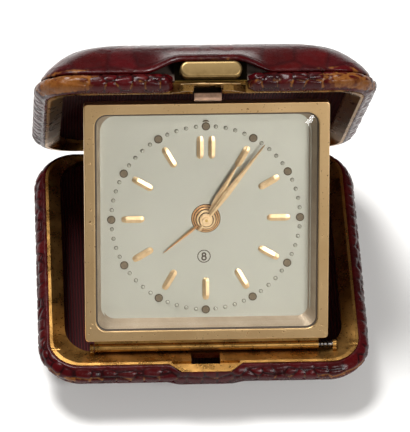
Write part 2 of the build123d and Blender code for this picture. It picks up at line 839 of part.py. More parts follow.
with BuildPart() as hour_wheel:
    toothed(centre_place, hour_wheel_level, wheel_thickness, hour_wheel_teeth, minute_pinion_module,
            hour_wheel_phase)
    turned(centre_place, -hour_hand_level - hand_thickness, hour_wheel_level, hour_tube_radius)
    turned(centre_place, -hour_hand_level - hand_thickness, hour_wheel_level + wheel_thickness, hour_bore,
           Mode.SUBTRACT)
hour_wheel.part.label = "hour_wheel"

with BuildPart() as cannon_pinion:
    toothed(centre_place, cannon_level, wheel_thickness, cannon_teeth, motion_module, 0)
    turned(centre_place, nut_level, cannon_level, cannon_radius)
    turned(centre_place, nut_level, cannon_level + wheel_thickness, arbor_radius, Mode.SUBTRACT)
cannon_pinion.part.label = "cannon_pinion"

with BuildPart() as minute_wheel:
    toothed(motion_place, cannon_level, wheel_thickness, minute_wheel_teeth, motion_module, minute_wheel_phase)
    toothed(motion_place, hour_wheel_level, cannon_level - hour_wheel_level, minute_pinion_teeth,
            minute_pinion_module, 0)
    turned(motion_place, hour_wheel_level, cannon_level + wheel_thickness, arbor_radius + pivot_gap,
           Mode.SUBTRACT)
minute_wheel.part.label = "minute_wheel"

# Plates with a hole for every arbor, and the pillars between them
pillar_places = [(x * pillar_place, y * pillar_place) for x in (-1, 1) for y in (-1, 1)]
train_places = (third_place, fourth_place, escape_place, pallet_place, balance_place, hammer_place)


def plate(level):
    """Square movement plate with its corners rounded."""
    with BuildSketch(dial_front.offset(-level)) as outline:
        RectangleRounded(plate_size, plate_size, plate_corner)
    extrude(outline.sketch, amount=-plate_thickness)
    for place in train_places:
        turned(place, level, level + plate_thickness, arbor_radius + pivot_gap, Mode.SUBTRACT)
    for place in (barrel_place, alarm_barrel_place):
        turned(place, level, level + plate_thickness, barrel_arbor_radius + pivot_gap, Mode.SUBTRACT)
    for place in (centre_place, alarm_knob_place):
        turned(place, level, level + plate_thickness, arbor_radius + pivot_gap, Mode.SUBTRACT)


with BuildPart() as front_plate:
    plate(front_plate_level)
    turned(motion_place, cannon_level, front_plate_level, arbor_radius)
    turned(motion_place, hour_wheel_level, front_plate_level, arbor_radius)
front_plate.part.label = "front_plate"

with BuildPart() as back_plate:
    plate(back_plate_level)
    turned(stop_place, back_plate_level, back_plate_outside, stop_stem_radius + pivot_gap, Mode.SUBTRACT)
back_plate.part.label = "back_plate"

with BuildPart() as pillars:
    for place in pillar_places:
        turned(place, front_plate_level + plate_thickness, back_plate_level, pillar_radius)
pillars.part.label = "pillars"

# Going train
with BuildPart() as time_barrel:
    toothed(barrel_place, barrel_level, barrel_tooth_depth, barrel_teeth, barrel_module, barrel_phase)
    turned(barrel_place, barrel_level, barrel_end, barrel_module * (barrel_teeth / 2 - tooth_dedendum))
    turned(barrel_place, barrel_level, barrel_end, barrel_arbor_radius + pivot_gap, Mode.SUBTRACT)
time_barrel.part.label = "time_barrel"

with BuildPart() as alarm_barrel:
    turned(alarm_barrel_place, front_plate_level + plate_thickness, barrel_end, alarm_barrel_radius)
    turned(alarm_barrel_place, front_plate_level + plate_thickness, barrel_end, barrel_arbor_radius + pivot_gap,
           Mode.SUBTRACT)
alarm_barrel.part.label = "alarm_barrel"

with BuildPart() as centre_wheel:
    turned(centre_place, arbor_top, key_level, arbor_radius)
    toothed(centre_place, barrel_level, barrel_tooth_depth, centre_pinion_teeth, barrel_module, 0)
    toothed(centre_place, centre_wheel_level, wheel_thickness, centre_wheel_teeth, centre_module, 0)
    crossed(centre_place, centre_wheel_level, centre_wheel_teeth, centre_module)
centre_wheel.part.label = "centre_wheel"

with BuildPart() as third_wheel:
    turned(third_place, pivot_start, pivot_end, arbor_radius)
    toothed(third_place, centre_wheel_level, wheel_thickness, third_pinion_teeth, centre_module, third_phase)
    toothed(third_place, third_wheel_level, wheel_thickness, third_wheel_teeth, third_module, 0)
    crossed(third_place, third_wheel_level, third_wheel_teeth, third_module)
third_wheel.part.label = "third_wheel"

with BuildPart() as fourth_wheel:
    turned(fourth_place, pivot_start, pivot_end, arbor_radius)
    toothed(fourth_place, third_wheel_level, wheel_thickness, fourth_pinion_teeth, third_module, fourth_phase)
    toothed(fourth_place, fourth_wheel_level, wheel_thickness, fourth_wheel_teeth, fourth_module, 0)
    crossed(fourth_place, fourth_wheel_level, fourth_wheel_teeth, fourth_module)
fourth_wheel.part.label = "fourth_wheel"

with BuildPart() as escape_wheel:
    turned(escape_place, pivot_start, pivot_end, arbor_radius)
    toothed(escape_place, fourth_wheel_level, wheel_thickness, escape_pinion_teeth, fourth_module, escape_phase)
    toothed(escape_place, escape_level, wheel_thickness, escape_teeth,
            escape_radius / (escape_teeth / 2 + tooth_addendum), 0)
escape_wheel.part.label = "escape_wheel"

# Pallet fork: a lever between the escape wheel and the balance
with BuildPart() as pallet_fork:
    turned(pallet_place, pivot_start, pivot_end, arbor_radius)
    with BuildSketch(dial_front.offset(-escape_level)):
        with Locations(Location((pallet_place[0], pallet_place[1], 0), (0, 0, pallet_angle))):
            with Locations(((balance_reach - 2 * arbor_radius) / 2 - wheel_thickness, 0)):
                Rectangle(balance_reach - 2 * arbor_radius - 2 * wheel_thickness, wheel_thickness)
            Rectangle(wheel_thickness, escape_radius)
    extrude(amount=-wheel_thickness)
pallet_fork.part.label = "pallet_fork"

with BuildPart() as balance:
    turned(balance_place, pivot_start, pivot_end, arbor_radius)
    turned(balance_place, balance_level, balance_level + wheel_thickness, balance_radius)
    turned(balance_place, balance_level, balance_level + wheel_thickness, balance_radius - balance_rim,
           Mode.SUBTRACT)
    with BuildSketch(dial_front.offset(-balance_level)):
        with Locations(balance_place):
            Rectangle(2 * balance_radius - balance_rim, balance_rim)
            Circle(balance_rim)
    extrude(amount=-wheel_thickness)
balance.part.label = "balance"

# Balance spring: a flat spiral ribbon round a collet on the balance's arbor
collet_radius = arbor_radius + tube_wall
spiral = []
for step in range(hairspring_points + 1):
    way = step / hairspring_points
    spiral.append((2 * pi * hairspring_turns * way, collet_radius + (hairspring_radius - collet_radius) * way))
ribbon_outside = [(radius * cos(turn), radius * sin(turn)) for turn, radius in spiral]
ribbon_inside = [((radius - hairspring_ribbon) * cos(turn), (radius - hairspring_ribbon) * sin(turn))
                 for turn, radius in reversed(spiral)]
with BuildPart() as balance_spring:
    with BuildSketch(dial_front.offset(-hairspring_level)):
        with Locations(balance_place):
            Polygon(*ribbon_outside, *ribbon_inside, align=None)
            Circle(collet_radius)
            Circle(arbor_radius + pivot_gap, mode=Mode.SUBTRACT)
    extrude(amount=-wheel_thickness)
balance_spring.part.label = "balance_spring"

# Alarm hammer on its own arbor
with BuildPart() as alarm_hammer:
    turned(hammer_place, pivot_start, pivot_end, arbor_radius)
    with BuildSketch(dial_front.offset(-hammer_level)):
        with Locations((hammer_place[0] + hammer_length / 2, hammer_place[1])):
            Rectangle(hammer_length, arbor_radius * 2)
        with Locations((hammer_place[0] + hammer_length, hammer_place[1])):
            Rectangle(hammer_head, hammer_head)
    extrude(amount=-wheel_thickness * 2)
alarm_hammer.part.label = "alarm_hammer"

# Clock body: flange in the bezel's pan, and a square shell behind it
with BuildPart() as clock_body:
    with BuildSketch(clock_face.offset(-crystal_back)):
        Rectangle(pan_inside, pan_inside)
    extrude(amount=crystal_back - bezel_depth)
    with BuildSketch(clock_face.offset(-crystal_back)):
        RectangleRounded(body_size, body_size, body_corner)
    extrude(amount=crystal_back - body_depth)
    with BuildSketch(clock_face.offset(-crystal_back)):
        Rectangle(body_inside, body_inside)
    extrude(amount=crystal_back - body_depth, mode=Mode.SUBTRACT)
clock_body.part.label = "clock_body"

with BuildPart() as back_cover:
    with BuildSketch(clock_face.offset(-body_depth)):
        RectangleRounded(body_size, body_size, body_corner)
    extrude(amount=-cover_thickness)
    cover_back = back_cover.faces().sort_by(Axis(clock_face.origin, clock_face.z_dir))[0]
    chamfer(cover_back.edges(), length=cover_chamfer)
    for place in (barrel_place, alarm_barrel_place):
        turned(place, cover_inside, cover_outside, barrel_arbor_radius + pivot_gap, Mode.SUBTRACT)
    for place in (centre_place, alarm_knob_place, balance_place):
        turned(place, cover_inside, cover_outside, arbor_radius + pivot_gap, Mode.SUBTRACT)
    for place in pillar_places:
        turned(place, cover_inside, cover_outside, cover_screw_shank, Mode.SUBTRACT)
    turned(stop_place, cover_inside, cover_outside, stop_stem_radius + pivot_gap, Mode.SUBTRACT)
back_cover.part.label = "back_cover"

with BuildPart() as cover_screws:
    for place in pillar_places:
        turned(place, cover_outside, cover_outside + cover_screw_head, cover_screw_radius)
        turned(place, back_plate_outside, cover_outside, cover_screw_shank)
cover_screws.part.label = "cover_screws"


def winding_key(place, label):
    """Barrel arbor with a flat key outside the cover."""
    with BuildPart() as key:
        turned(place, pivot_start, key_level, barrel_arbor_radius)
        turned(place, key_level, key_level + key_hub_thickness, key_hub_radius)
        with BuildSketch(dial_front.offset(-key_level - key_hub_thickness)):
            with Locations(place):
                SlotOverall(2 * key_hub_radius - key_hub_thickness, key_wing_thickness)
        extrude(amount=-key_wing_height)
    key.part.label = label
    return key.part


def knob_head(place):
    """Ribbed knob outside the cover."""
    turned(place, key_level, key_level + knob_height, knob_radius)
    with BuildSketch(dial_front.offset(-key_level)) as grooves:
        with Locations(place):
            with PolarLocations(knob_radius, knob_ribs):
                RegularPolygon(knob_radius * pi / knob_ribs / 2, 4)
    extrude(grooves.sketch, amount=-knob_height, mode=Mode.SUBTRACT)


time_key = winding_key(barrel_place, "time_winding_key")
alarm_key = winding_key(alarm_barrel_place, "alarm_winding_key")

with BuildPart() as hand_setting_knob:
    knob_head(centre_place)
hand_setting_knob.part.label = "hand_setting_knob"

with BuildPart() as alarm_setting_knob:
    knob_head(alarm_knob_place)
    turned(alarm_knob_place, alarm_wheel_level, key_level, arbor_radius)
alarm_setting_knob.part.label = "alarm_setting_knob"

with BuildPart() as alarm_pinion:
    toothed(alarm_knob_place, alarm_wheel_level, wheel_thickness, alarm_wheel_teeth, alarm_module,
            alarm_pinion_phase)
    turned(alarm_knob_place, alarm_wheel_level, alarm_wheel_level + wheel_thickness, arbor_radius,
           Mode.SUBTRACT)
alarm_pinion.part.label = "alarm_setting_wheel"

with BuildPart() as alarm_stop:
    turned(stop_place, cover_outside + stop_travel + fit_gap, cover_outside + stop_rise, stop_radius)
    turned(stop_place, back_plate_level + fit_gap, cover_outside + stop_rise, stop_stem_radius)
alarm_stop.part.label = "alarm_stop_button"

with BuildPart() as regulator:
    turned(balance_place, back_plate_outside + pivot_gap, key_level, arbor_radius)
    with BuildSketch(dial_front.offset(-key_level)):
        with Locations(balance_place):
            Circle(regulator_width)
        with Locations((balance_place[0], balance_place[1] + regulator_length / 2)):
            SlotOverall(regulator_length, regulator_width, rotation=90)
    extrude(amount=-regulator_thickness)
regulator.part.label = "regulator_lever"

pieces = [
    base_leather.part, base_shell.part, base_lining.part, base_frame.part,
    lid_leather.part, lid_shell.part, lid_lining.part, lid_frame.part,
    latch_housing.part, push_button.part, latch_hook.part, button_springs.part,
    case_hinge_pin.part, clock_hinge_leaf.part, clock_hinge_pin.part, clock_spring.part,
    bezel.part, crystal.part, inner_frame.part, dial.part, hour_batons.part, hour_dots.part,
    hour_hand.part, minute_hand.part, alarm_hand.part, hand_nut.part,
    alarm_wheel.part, hour_wheel.part, cannon_pinion.part, minute_wheel.part,
    front_plate.part, back_plate.part, pillars.part, time_barrel.part, alarm_barrel.part,
    centre_wheel.part, third_wheel.part, fourth_wheel.part, escape_wheel.part,
    pallet_fork.part, balance.part, balance_spring.part, alarm_hammer.part,
    clock_body.part, back_cover.part, cover_screws.part, time_key, alarm_key,
    hand_setting_knob.part, alarm_setting_knob.part, alarm_pinion.part, alarm_stop.part, regulator.part,
]
for piece in pieces:
    export_step(piece, f"parts/{piece.label}.step")
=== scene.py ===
import json
from math import atan2, cos, pi, radians, sin

import bmesh
import bpy
import numpy as np
from mathutils import Matrix, Vector


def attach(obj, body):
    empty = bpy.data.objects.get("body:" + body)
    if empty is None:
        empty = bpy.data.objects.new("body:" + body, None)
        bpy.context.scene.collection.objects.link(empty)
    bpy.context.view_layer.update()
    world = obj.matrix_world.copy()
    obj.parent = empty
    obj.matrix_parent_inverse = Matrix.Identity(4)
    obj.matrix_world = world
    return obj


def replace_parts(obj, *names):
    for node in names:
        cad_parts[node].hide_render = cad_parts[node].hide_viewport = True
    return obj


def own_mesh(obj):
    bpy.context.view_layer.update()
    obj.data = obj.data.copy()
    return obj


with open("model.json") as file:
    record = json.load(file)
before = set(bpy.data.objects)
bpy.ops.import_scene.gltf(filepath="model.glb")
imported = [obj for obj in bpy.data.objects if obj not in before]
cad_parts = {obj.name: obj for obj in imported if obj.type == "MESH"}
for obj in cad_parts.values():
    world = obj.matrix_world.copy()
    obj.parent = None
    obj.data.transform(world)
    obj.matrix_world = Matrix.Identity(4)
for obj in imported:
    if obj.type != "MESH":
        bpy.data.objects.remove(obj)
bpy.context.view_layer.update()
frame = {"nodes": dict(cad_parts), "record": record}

# Leather covering of the two case halves: calfskin embossed as crocodile, dyed dark burgundy and varnished.
# Each half has a rounded band round its brass rim and a domed cover whose lip stands over the band. Both are
# glued over a card shell. These are the rims' sizes in millimetres and the places that follow from them.
MM = 0.001
RIM_WIDTH = 85.6
RIM_LENGTH = 76.5
RIM_CORNER = 8.5
RIM_HEIGHT = 16.5
FRONT = RIM_LENGTH / 2
HINGE_SETBACK = 1.2
HINGE_REACH = FRONT + HINGE_SETBACK
LID_ANGLE = 60.4
tilt = radians(LID_ANGLE)


def placed(half, x, y, depth):
    """World points of a case half, from the rim's middle: across, to the front and depth into the half."""
    if half == "base":
        return np.stack([x, -y, RIM_HEIGHT - depth], -1) * MM
    reach = HINGE_REACH + y
    return np.stack([
        x,
        HINGE_REACH - reach * cos(tilt) + depth * sin(tilt),
        RIM_HEIGHT + reach * sin(tilt) + depth * cos(tilt),
    ], -1) * MM


SIDE_POINTS = 104
END_POINTS = 58
CORNER_POINTS = 22


def rim_path(side, rear, start=0.0):
    """Rounded outline from the front's middle, outside the rim by one offset and at the back by another."""
    half_width = RIM_WIDTH / 2 + side
    front = FRONT + side
    back = -FRONT - rear
    corner = max(min(RIM_CORNER + max(side, 0), half_width, (front - back) / 2), 0.01)
    across = half_width - corner
    turn = np.linspace(0, pi / 2, CORNER_POINTS + 2)[1:-1]
    sweep = np.linspace(start, across, END_POINTS) if across > start else np.full(END_POINTS, across)
    reach = np.linspace(front - corner, back + corner, SIDE_POINTS)
    rear_run = np.linspace(across, -across, 2 * END_POINTS)
    rise, fall = corner * np.sin(turn), corner * np.cos(turn)
    x = np.concatenate([
        sweep, across + rise, np.full(SIDE_POINTS, half_width), across + fall,
        rear_run, -across - rise, np.full(SIDE_POINTS, -half_width), -across - fall, -sweep[::-1],
    ])
    y = np.concatenate([
        np.full(END_POINTS, front), front - corner + fall, reach, back + corner - rise,
        np.full(2 * END_POINTS, back), back + corner - fall, reach[::-1], front - corner + rise,
        np.full(END_POINTS, front),
    ])
    return x, y


def smooth_rows(rows, steps, closed=False):
    """More rows between control rows, on a smooth curve through them."""
    rows = np.array(rows, float)
    if closed:
        padded = np.concatenate([rows[-1:], rows, rows[:2]])
    else:
        padded = np.concatenate([2 * rows[:1] - rows[1:2], rows, 2 * rows[-1:] - rows[-2:-1]])
    made = []
    for first, here, there, last in zip(padded[:-3], padded[1:-2], padded[2:-1], padded[3:]):
        for t in np.linspace(0, 1, steps, endpoint=False):
            bend = 2 * first - 5 * here + 4 * there - last
            twist = 3 * here - first - 3 * there + last
            made.append(0.5 * (2 * here + (there - first) * t + bend * t ** 2 + twist * t ** 3))
    return np.array(made if closed else made + [rows[-1]])


def smooth_step(value, low, high):
    """0 up to low, 1 from high, and a smooth change between them."""
    t = np.clip((value - low) / (high - low), 0, 1)
    return t * t * (3 - 2 * t)


KNUCKLE_HALF_LENGTH = 28.4
KNUCKLE_CLEARANCE = 1.75


def clear_of_hinge(x, y, depth):
    """Presses points away from the case hinge's knuckles."""
    hinge_y = -HINGE_REACH
    distance = np.hypot(y - hinge_y, depth)
    near = (np.abs(x) < KNUCKLE_HALF_LENGTH) & (distance < KNUCKLE_CLEARANCE)
    grow = np.where(near, KNUCKLE_CLEARANCE / np.maximum(distance, 0.05), 1)
    return x, hinge_y + (y - hinge_y) * grow, depth * grow


MERGE_DISTANCE = 0.002 * MM


def linked(name, data):
    """New object in the scene."""
    made = bpy.data.objects.new(name, data)
    bpy.context.scene.collection.objects.link(made)
    return made


def skin(name, points, attributes, wrap_rows=False, wrap_columns=False, cap_ends=False):
    """Object from a grid of points in metres, with its point attributes and its normals outward."""
    rows, columns = points.shape[:2]
    faces = []
    for row in range(rows if wrap_rows else rows - 1):
        below = (row + 1) % rows
        for column in range(columns if wrap_columns else columns - 1):
            beside = (column + 1) % columns
            faces.append((row * columns + column, row * columns + beside, below * columns + beside,
                          below * columns + column))
    if cap_ends and wrap_columns:
        faces += [tuple(range(columns)), tuple((rows - 1) * columns + c for c in reversed(range(columns)))]
    if cap_ends and wrap_rows:
        faces += [tuple(r * columns for r in range(rows)),
                  tuple(r * columns + columns - 1 for r in reversed(range(rows)))]
    mesh = bpy.data.meshes.new(name)
    mesh.from_pydata(points.reshape(-1, 3).tolist(), [], faces)
    for key, values in attributes.items():
        layer = mesh.attributes.new(key, "FLOAT", "POINT")
        layer.data.foreach_set("value", np.asarray(values, np.float32).ravel())
    shape = bmesh.new()
    shape.from_mesh(mesh)
    bmesh.ops.remove_doubles(shape, verts=shape.verts, dist=MERGE_DISTANCE)
    bmesh.ops.recalc_face_normals(shape, faces=shape.faces)
    for face in shape.faces:
        face.smooth = True
    shape.to_mesh(mesh)
    shape.free()
    return linked(name, mesh)


def add(tree, kind, settings=None, inputs=None):
    """Adds a node; an input's value is a number, a colour or another node's output."""
    node = tree.nodes.new(kind)
    for key, value in (settings or {}).items():
        setattr(node, key, value)
    for key, value in (inputs or {}).items():
        if isinstance(value, bpy.types.NodeSocket):
            tree.links.new(value, node.inputs[key])
        else:
            node.inputs[key].default_value = value
    return node


# The embossed scales: a hot plate presses their outlines into the damp leather. This tree sinks them into
# the mesh along the edges of the same cells that colour it. They are smaller on the bands than on the domes.
def piece_tree(name, inputs):
    """Geometry Nodes tree from a mesh to a mesh, with the names and kinds of its other inputs."""
    tree = bpy.data.node_groups.new(name, "GeometryNodeTree")
    for label, kind in [("Geometry", "Geometry"), *inputs]:
        tree.interface.new_socket(label, in_out="INPUT", socket_type="NodeSocket" + kind)
    tree.interface.new_socket("Geometry", in_out="OUTPUT", socket_type="NodeSocketGeometry")
    return tree


BAND_SCALE = 3.9
DOME_SCALE = 8.6
CELL_RANDOMNESS = 0.55
relief = piece_tree("crocodile_relief",
                    [("Groove Width", "Float"), ("Groove Depth", "Float"), ("Leather", "Material")])
given = add(relief, "NodeGroupInput")
place = add(relief, "GeometryNodeInputPosition")
scales = add(relief, "GeometryNodeInputNamedAttribute", {"data_type": "FLOAT"}, {"Name": "scales"})
stretched = add(relief, "ShaderNodeVectorMath", {"operation": "SCALE"},
                {0: place.outputs[0], "Scale": scales.outputs[0]})
cells = add(relief, "ShaderNodeTexVoronoi", {"feature": "DISTANCE_TO_EDGE"},
            {"Vector": stretched.outputs[0], "Scale": 1, "Randomness": CELL_RANDOMNESS})
groove = add(relief, "ShaderNodeMapRange", {"interpolation_type": "SMOOTHSTEP"},
             {"Value": cells.outputs["Distance"], 1: 0, 2: given.outputs["Groove Width"], 3: -1, 4: 0})
mask = add(relief, "GeometryNodeInputNamedAttribute", {"data_type": "FLOAT"}, {"Name": "embossed"})
depth_in = add(relief, "ShaderNodeMath", {"operation": "MULTIPLY"},
               {0: groove.outputs[0], 1: given.outputs["Groove Depth"]})
masked = add(relief, "ShaderNodeMath", {"operation": "MULTIPLY"},
             {0: depth_in.outputs[0], 1: mask.outputs[0]})
outward = add(relief, "GeometryNodeInputNormal")
shift = add(relief, "ShaderNodeVectorMath", {"operation": "SCALE"},
            {0: outward.outputs[0], "Scale": masked.outputs[0]})
pressed = add(relief, "GeometryNodeSetPosition", None,
              {"Geometry": given.outputs["Geometry"], "Offset": shift.outputs[0]})
real = add(relief, "GeometryNodeRealizeInstances", None, {"Geometry": pressed.outputs[0]})
dressed = add(relief, "GeometryNodeSetMaterial", None,
              {"Geometry": real.outputs[0], "Material": given.outputs["Leather"]})
add(relief, "NodeGroupOutput", None, {0: dressed.outputs[0]})


def grown(piece, tree, values):
    """Runs a Geometry Nodes tree on a piece and keeps the result as its plain mesh."""
    modifier = piece.modifiers.new(tree.name, "NODES")
    modifier.node_group = tree
    for item in tree.interface.items_tree:
        if item.in_out == "INPUT" and item.name in values:
            modifier[item.identifier] = values[item.name]
    piece.data.update()
    evaluated = piece.evaluated_get(bpy.context.evaluated_depsgraph_get())
    mesh = bpy.data.meshes.new_from_object(evaluated)
    piece.modifiers.clear()
    piece.data = mesh
    return piece


# Varnished embossed calf: deep burgundy scales, darker lines between them, tan where the dye has worn off.
# The varnish gives a soft gloss that breaks up over the pores and the rubbed patches.
def linear(code):
    """An sRGB hex value as linear colour with alpha 1."""
    parts = [int(code[i:i + 2], 16) / 255 for i in (1, 3, 5)]
    return (*[c / 12.92 if c <= 0.04045 else ((c + 0.055) / 1.055) ** 2.4 for c in parts], 1)


def surface(name):
    """Empty node material."""
    made = bpy.data.materials.new(name)
    made.use_nodes = True
    made.node_tree.nodes.clear()
    return made


DYE_CLOUD = 9.1
RUBBED_PATCH = 2.38
PORE_SPACING = 0.667
LINE_SHARE = 0.13
crocodile_leather = surface("varnished crocodile-embossed calf")
t = crocodile_leather.node_tree
where = add(t, "ShaderNodeTexCoord").outputs["Object"]
scales = add(t, "ShaderNodeAttribute", {"attribute_name": "scales"})
stretched = add(t, "ShaderNodeVectorMath", {"operation": "SCALE"},
                {0: where, "Scale": scales.outputs["Fac"]})
edges = add(t, "ShaderNodeTexVoronoi", {"feature": "DISTANCE_TO_EDGE"},
            {"Vector": stretched.outputs[0], "Scale": 1, "Randomness": CELL_RANDOMNESS})
line = add(t, "ShaderNodeMapRange", {"interpolation_type": "SMOOTHSTEP"},
           {"Value": edges.outputs["Distance"], 1: 0, 2: LINE_SHARE, 3: 1, 4: 0})
scale_tone = add(t, "ShaderNodeTexVoronoi", None,
                 {"Vector": stretched.outputs[0], "Scale": 1, "Randomness": CELL_RANDOMNESS})
cloud = add(t, "ShaderNodeTexNoise", None,
            {"Vector": where, "Scale": 1 / (DYE_CLOUD * MM), "Detail": 4, "Roughness": 0.6})
fine = add(t, "ShaderNodeTexNoise", None,
           {"Vector": where, "Scale": 1 / (PORE_SPACING * MM), "Detail": 3, "Roughness": 0.6})
patch = add(t, "ShaderNodeTexNoise", None,
            {"Vector": where, "Scale": 1 / (RUBBED_PATCH * MM), "Detail": 5, "Roughness": 0.7})
dye = add(t, "ShaderNodeMix", {"data_type": "RGBA"},
          {0: cloud.outputs["Fac"], 6: linear("#120203"), 7: linear("#52090c")})
varied = add(t, "ShaderNodeMix", {"data_type": "RGBA", "blend_type": "MULTIPLY"},
             {0: 0.35, 6: dye.outputs[2], 7: scale_tone.outputs["Color"]})
pressed_share = add(t, "ShaderNodeAttribute", {"attribute_name": "embossed"})
inked = add(t, "ShaderNodeMath", {"operation": "MULTIPLY"},
            {0: line.outputs[0], 1: pressed_share.outputs["Fac"]})
lined = add(t, "ShaderNodeMix", {"data_type": "RGBA"},
            {0: inked.outputs[0], 6: varied.outputs[2], 7: linear("#190304")})
wear = add(t, "ShaderNodeAttribute", {"attribute_name": "worn"})
rub = add(t, "ShaderNodeMath", {"operation": "ADD"}, {0: wear.outputs["Fac"], 1: patch.outputs["Fac"]})
split = add(t, "ShaderNodeMath", {"operation": "MULTIPLY"}, {0: line.outputs[0], 1: wear.outputs["Fac"]})
rubbed = add(t, "ShaderNodeMath", {"operation": "ADD"}, {0: rub.outputs[0], 1: split.outputs[0]})
bare = add(t, "ShaderNodeMapRange", {"interpolation_type": "SMOOTHSTEP"},
           {"Value": rubbed.outputs[0], 1: 0.86, 2: 1.16, 3: 0, 4: 0.9})
tan = add(t, "ShaderNodeMix", {"data_type": "RGBA"},
          {0: patch.outputs["Fac"], 6: linear("#461a0b"), 7: linear("#8c5a26")})
colour = add(t, "ShaderNodeMix", {"data_type": "RGBA"},
             {0: bare.outputs[0], 6: lined.outputs[2], 7: tan.outputs[2]})
gloss = add(t, "ShaderNodeMapRange", None, {"Value": patch.outputs["Fac"], 1: 0.3, 2: 0.7, 3: 0.16, 4: 0.38})
height = add(t, "ShaderNodeMath", {"operation": "MULTIPLY_ADD"},
             {0: fine.outputs["Fac"], 1: 0.25, 2: patch.outputs["Fac"]})
bump = add(t, "ShaderNodeBump", None, {"Strength": 0.4, "Distance": 0.3 * MM, "Height": height.outputs[0]})
shader = add(t, "ShaderNodeBsdfPrincipled", None,
             {"Base Color": colour.outputs[2], "Roughness": gloss.outputs[0], "Normal": bump.outputs[0],
              "Specular IOR Level": 0.16})
add(t, "ShaderNodeOutputMaterial", None, {"Surface": shader.outputs[0]})

CORNER_ACROSS = (27, 37)
CORNER_FORWARD = (22, 36)


def front_corner(x, y):
    """1 at a half's two front corners, where hands rub the dye most."""
    return smooth_step(np.abs(x), *CORNER_ACROSS) * smooth_step(y, *CORNER_FORWARD)


def embossed_leather(name, half, points, worn, embossed, scale, groove_width, groove_depth, **ends):
    """Leather on a case half with its scales pressed in; the groove's width is a share of a scale."""
    values = {"worn": worn, "embossed": embossed, "scales": np.full(points.shape[:2], 1 / (scale * MM))}
    piece = skin(half + name, points, values, **ends)
    grown(piece, relief,
          {"Groove Width": groove_width, "Groove Depth": groove_depth * MM, "Leather": crocodile_leather})
    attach(piece, half)
    return piece


# Bands: strips of the leather rolled over the rims' outer edges. The lid's stops at both sides of the latch,
# and the base's swells over the thumb bump. A row is its depth below the rim, and its offset from the rim at
# the sides and at the back. The dye has rubbed off at the corners, along the ridge and at the rear left.
LATCH_HALF_WIDTH = 10.0
LATCH_SHIFT = 0.8
LATCH_SHIFT_FADE = 12
ROLLED_END = 2.2
END_DRAW_SHARE = 0.45
END_LEVEL = 3
END_LEVEL_SHARE = 0.3
BUMP_TOP = 6.7
BUMP_ROOT = 10.2
BUMP_REACH = 2.9
BASE_BAND_SHARE = 0.88
BAND_GROOVE_SHARE = 0.14
BAND_GROOVE_DEPTH = 0.3
LID_CORNER_WEAR = 0.4
LID_CORNER_DIFFERENCE = 0.08
LID_FRONT_WEAR = 0.14
LID_EDGE_WEAR = 0.16
BASE_CORNER_WEAR = 0.2
BASE_FRONT_WEAR = 0.24
BASE_RIDGE_WEAR = 0.1
REAR_LEFT_WEAR = 0.4
band_rows = smooth_rows([
    (0.35, 0.02, 0.02), (0.14, 0.5, 0.3), (0.2, 1.1, 0.6), (0.75, 2.3, 0.85), (1.7, 3.3, 1.0),
    (2.8, 3.7, 1.1), (3.9, 3.4, 1.1), (4.7, 2.6, 1.0), (5.05, 1.6, 0.9), (4.9, 0.6, 0.4),
    (4.0, 0.05, 0.05), (2.0, 0.02, 0.02),
], 4, closed=True)
BAND_REACH = 3.3


def leather_band(half):
    """Rounded band round a half's rim, open at the lid's latch and lower over the base's thumb bump."""
    start = LATCH_HALF_WIDTH if half == "lid" else 0
    rows, worn, embossed = [], [], []
    for depth, side, rear in band_rows:
        side = side * (1 if half == "lid" else BASE_BAND_SHARE)
        x, y = rim_path(side, rear, start)
        level = np.full_like(x, depth)
        front = smooth_step(y, FRONT - 3, FRONT - 1)
        if half == "base":
            bump_share = (1 - smooth_step(np.abs(x), BUMP_TOP, BUMP_ROOT)) * front
            y = y + BUMP_REACH * bump_share * np.interp(side, (0, BAND_REACH), (1, 0.1))
        else:
            end = (1 - smooth_step(np.abs(x), LATCH_HALF_WIDTH, LATCH_HALF_WIDTH + ROLLED_END)) * front
            y = y - end * END_DRAW_SHARE * max(side, 0)
            level = level + end * END_LEVEL_SHARE * (END_LEVEL - level)
            near = 1 - smooth_step(np.abs(x), LATCH_HALF_WIDTH, LATCH_HALF_WIDTH + LATCH_SHIFT_FADE)
            x = x + LATCH_SHIFT * near * front
        rows.append(placed(half, *clear_of_hinge(x, y, level)))
        corner = front_corner(x, y)
        if half == "lid":
            lower = 1 - smooth_step(depth, 1.8, 3.4)
            rubbed = (LID_CORNER_WEAR - LID_CORNER_DIFFERENCE * np.sign(x)) * corner
            rubbed = rubbed + (LID_FRONT_WEAR + LID_EDGE_WEAR * lower) * front
            worn.append(rubbed * smooth_step(side, 0.8, 2.6))
        else:
            ridge = smooth_step(side, 2.4, 3.6) * (1 if depth > 1 else 0)
            rear_left = smooth_step(-y, 30, 37) * smooth_step(-x, 10, 30)
            rubbed = BASE_CORNER_WEAR * corner + BASE_FRONT_WEAR * front + REAR_LEFT_WEAR * rear_left
            worn.append((rubbed + BASE_RIDGE_WEAR) * ridge)
        embossed.append(np.full_like(x, smooth_step(side, 0.6, 1.8)))
    embossed_leather("_leather_band", half, np.array(rows), worn, embossed, BAND_SCALE, BAND_GROOVE_SHARE,
                     BAND_GROOVE_DEPTH, wrap_rows=True, wrap_columns=half == "base", cap_ends=half == "lid")


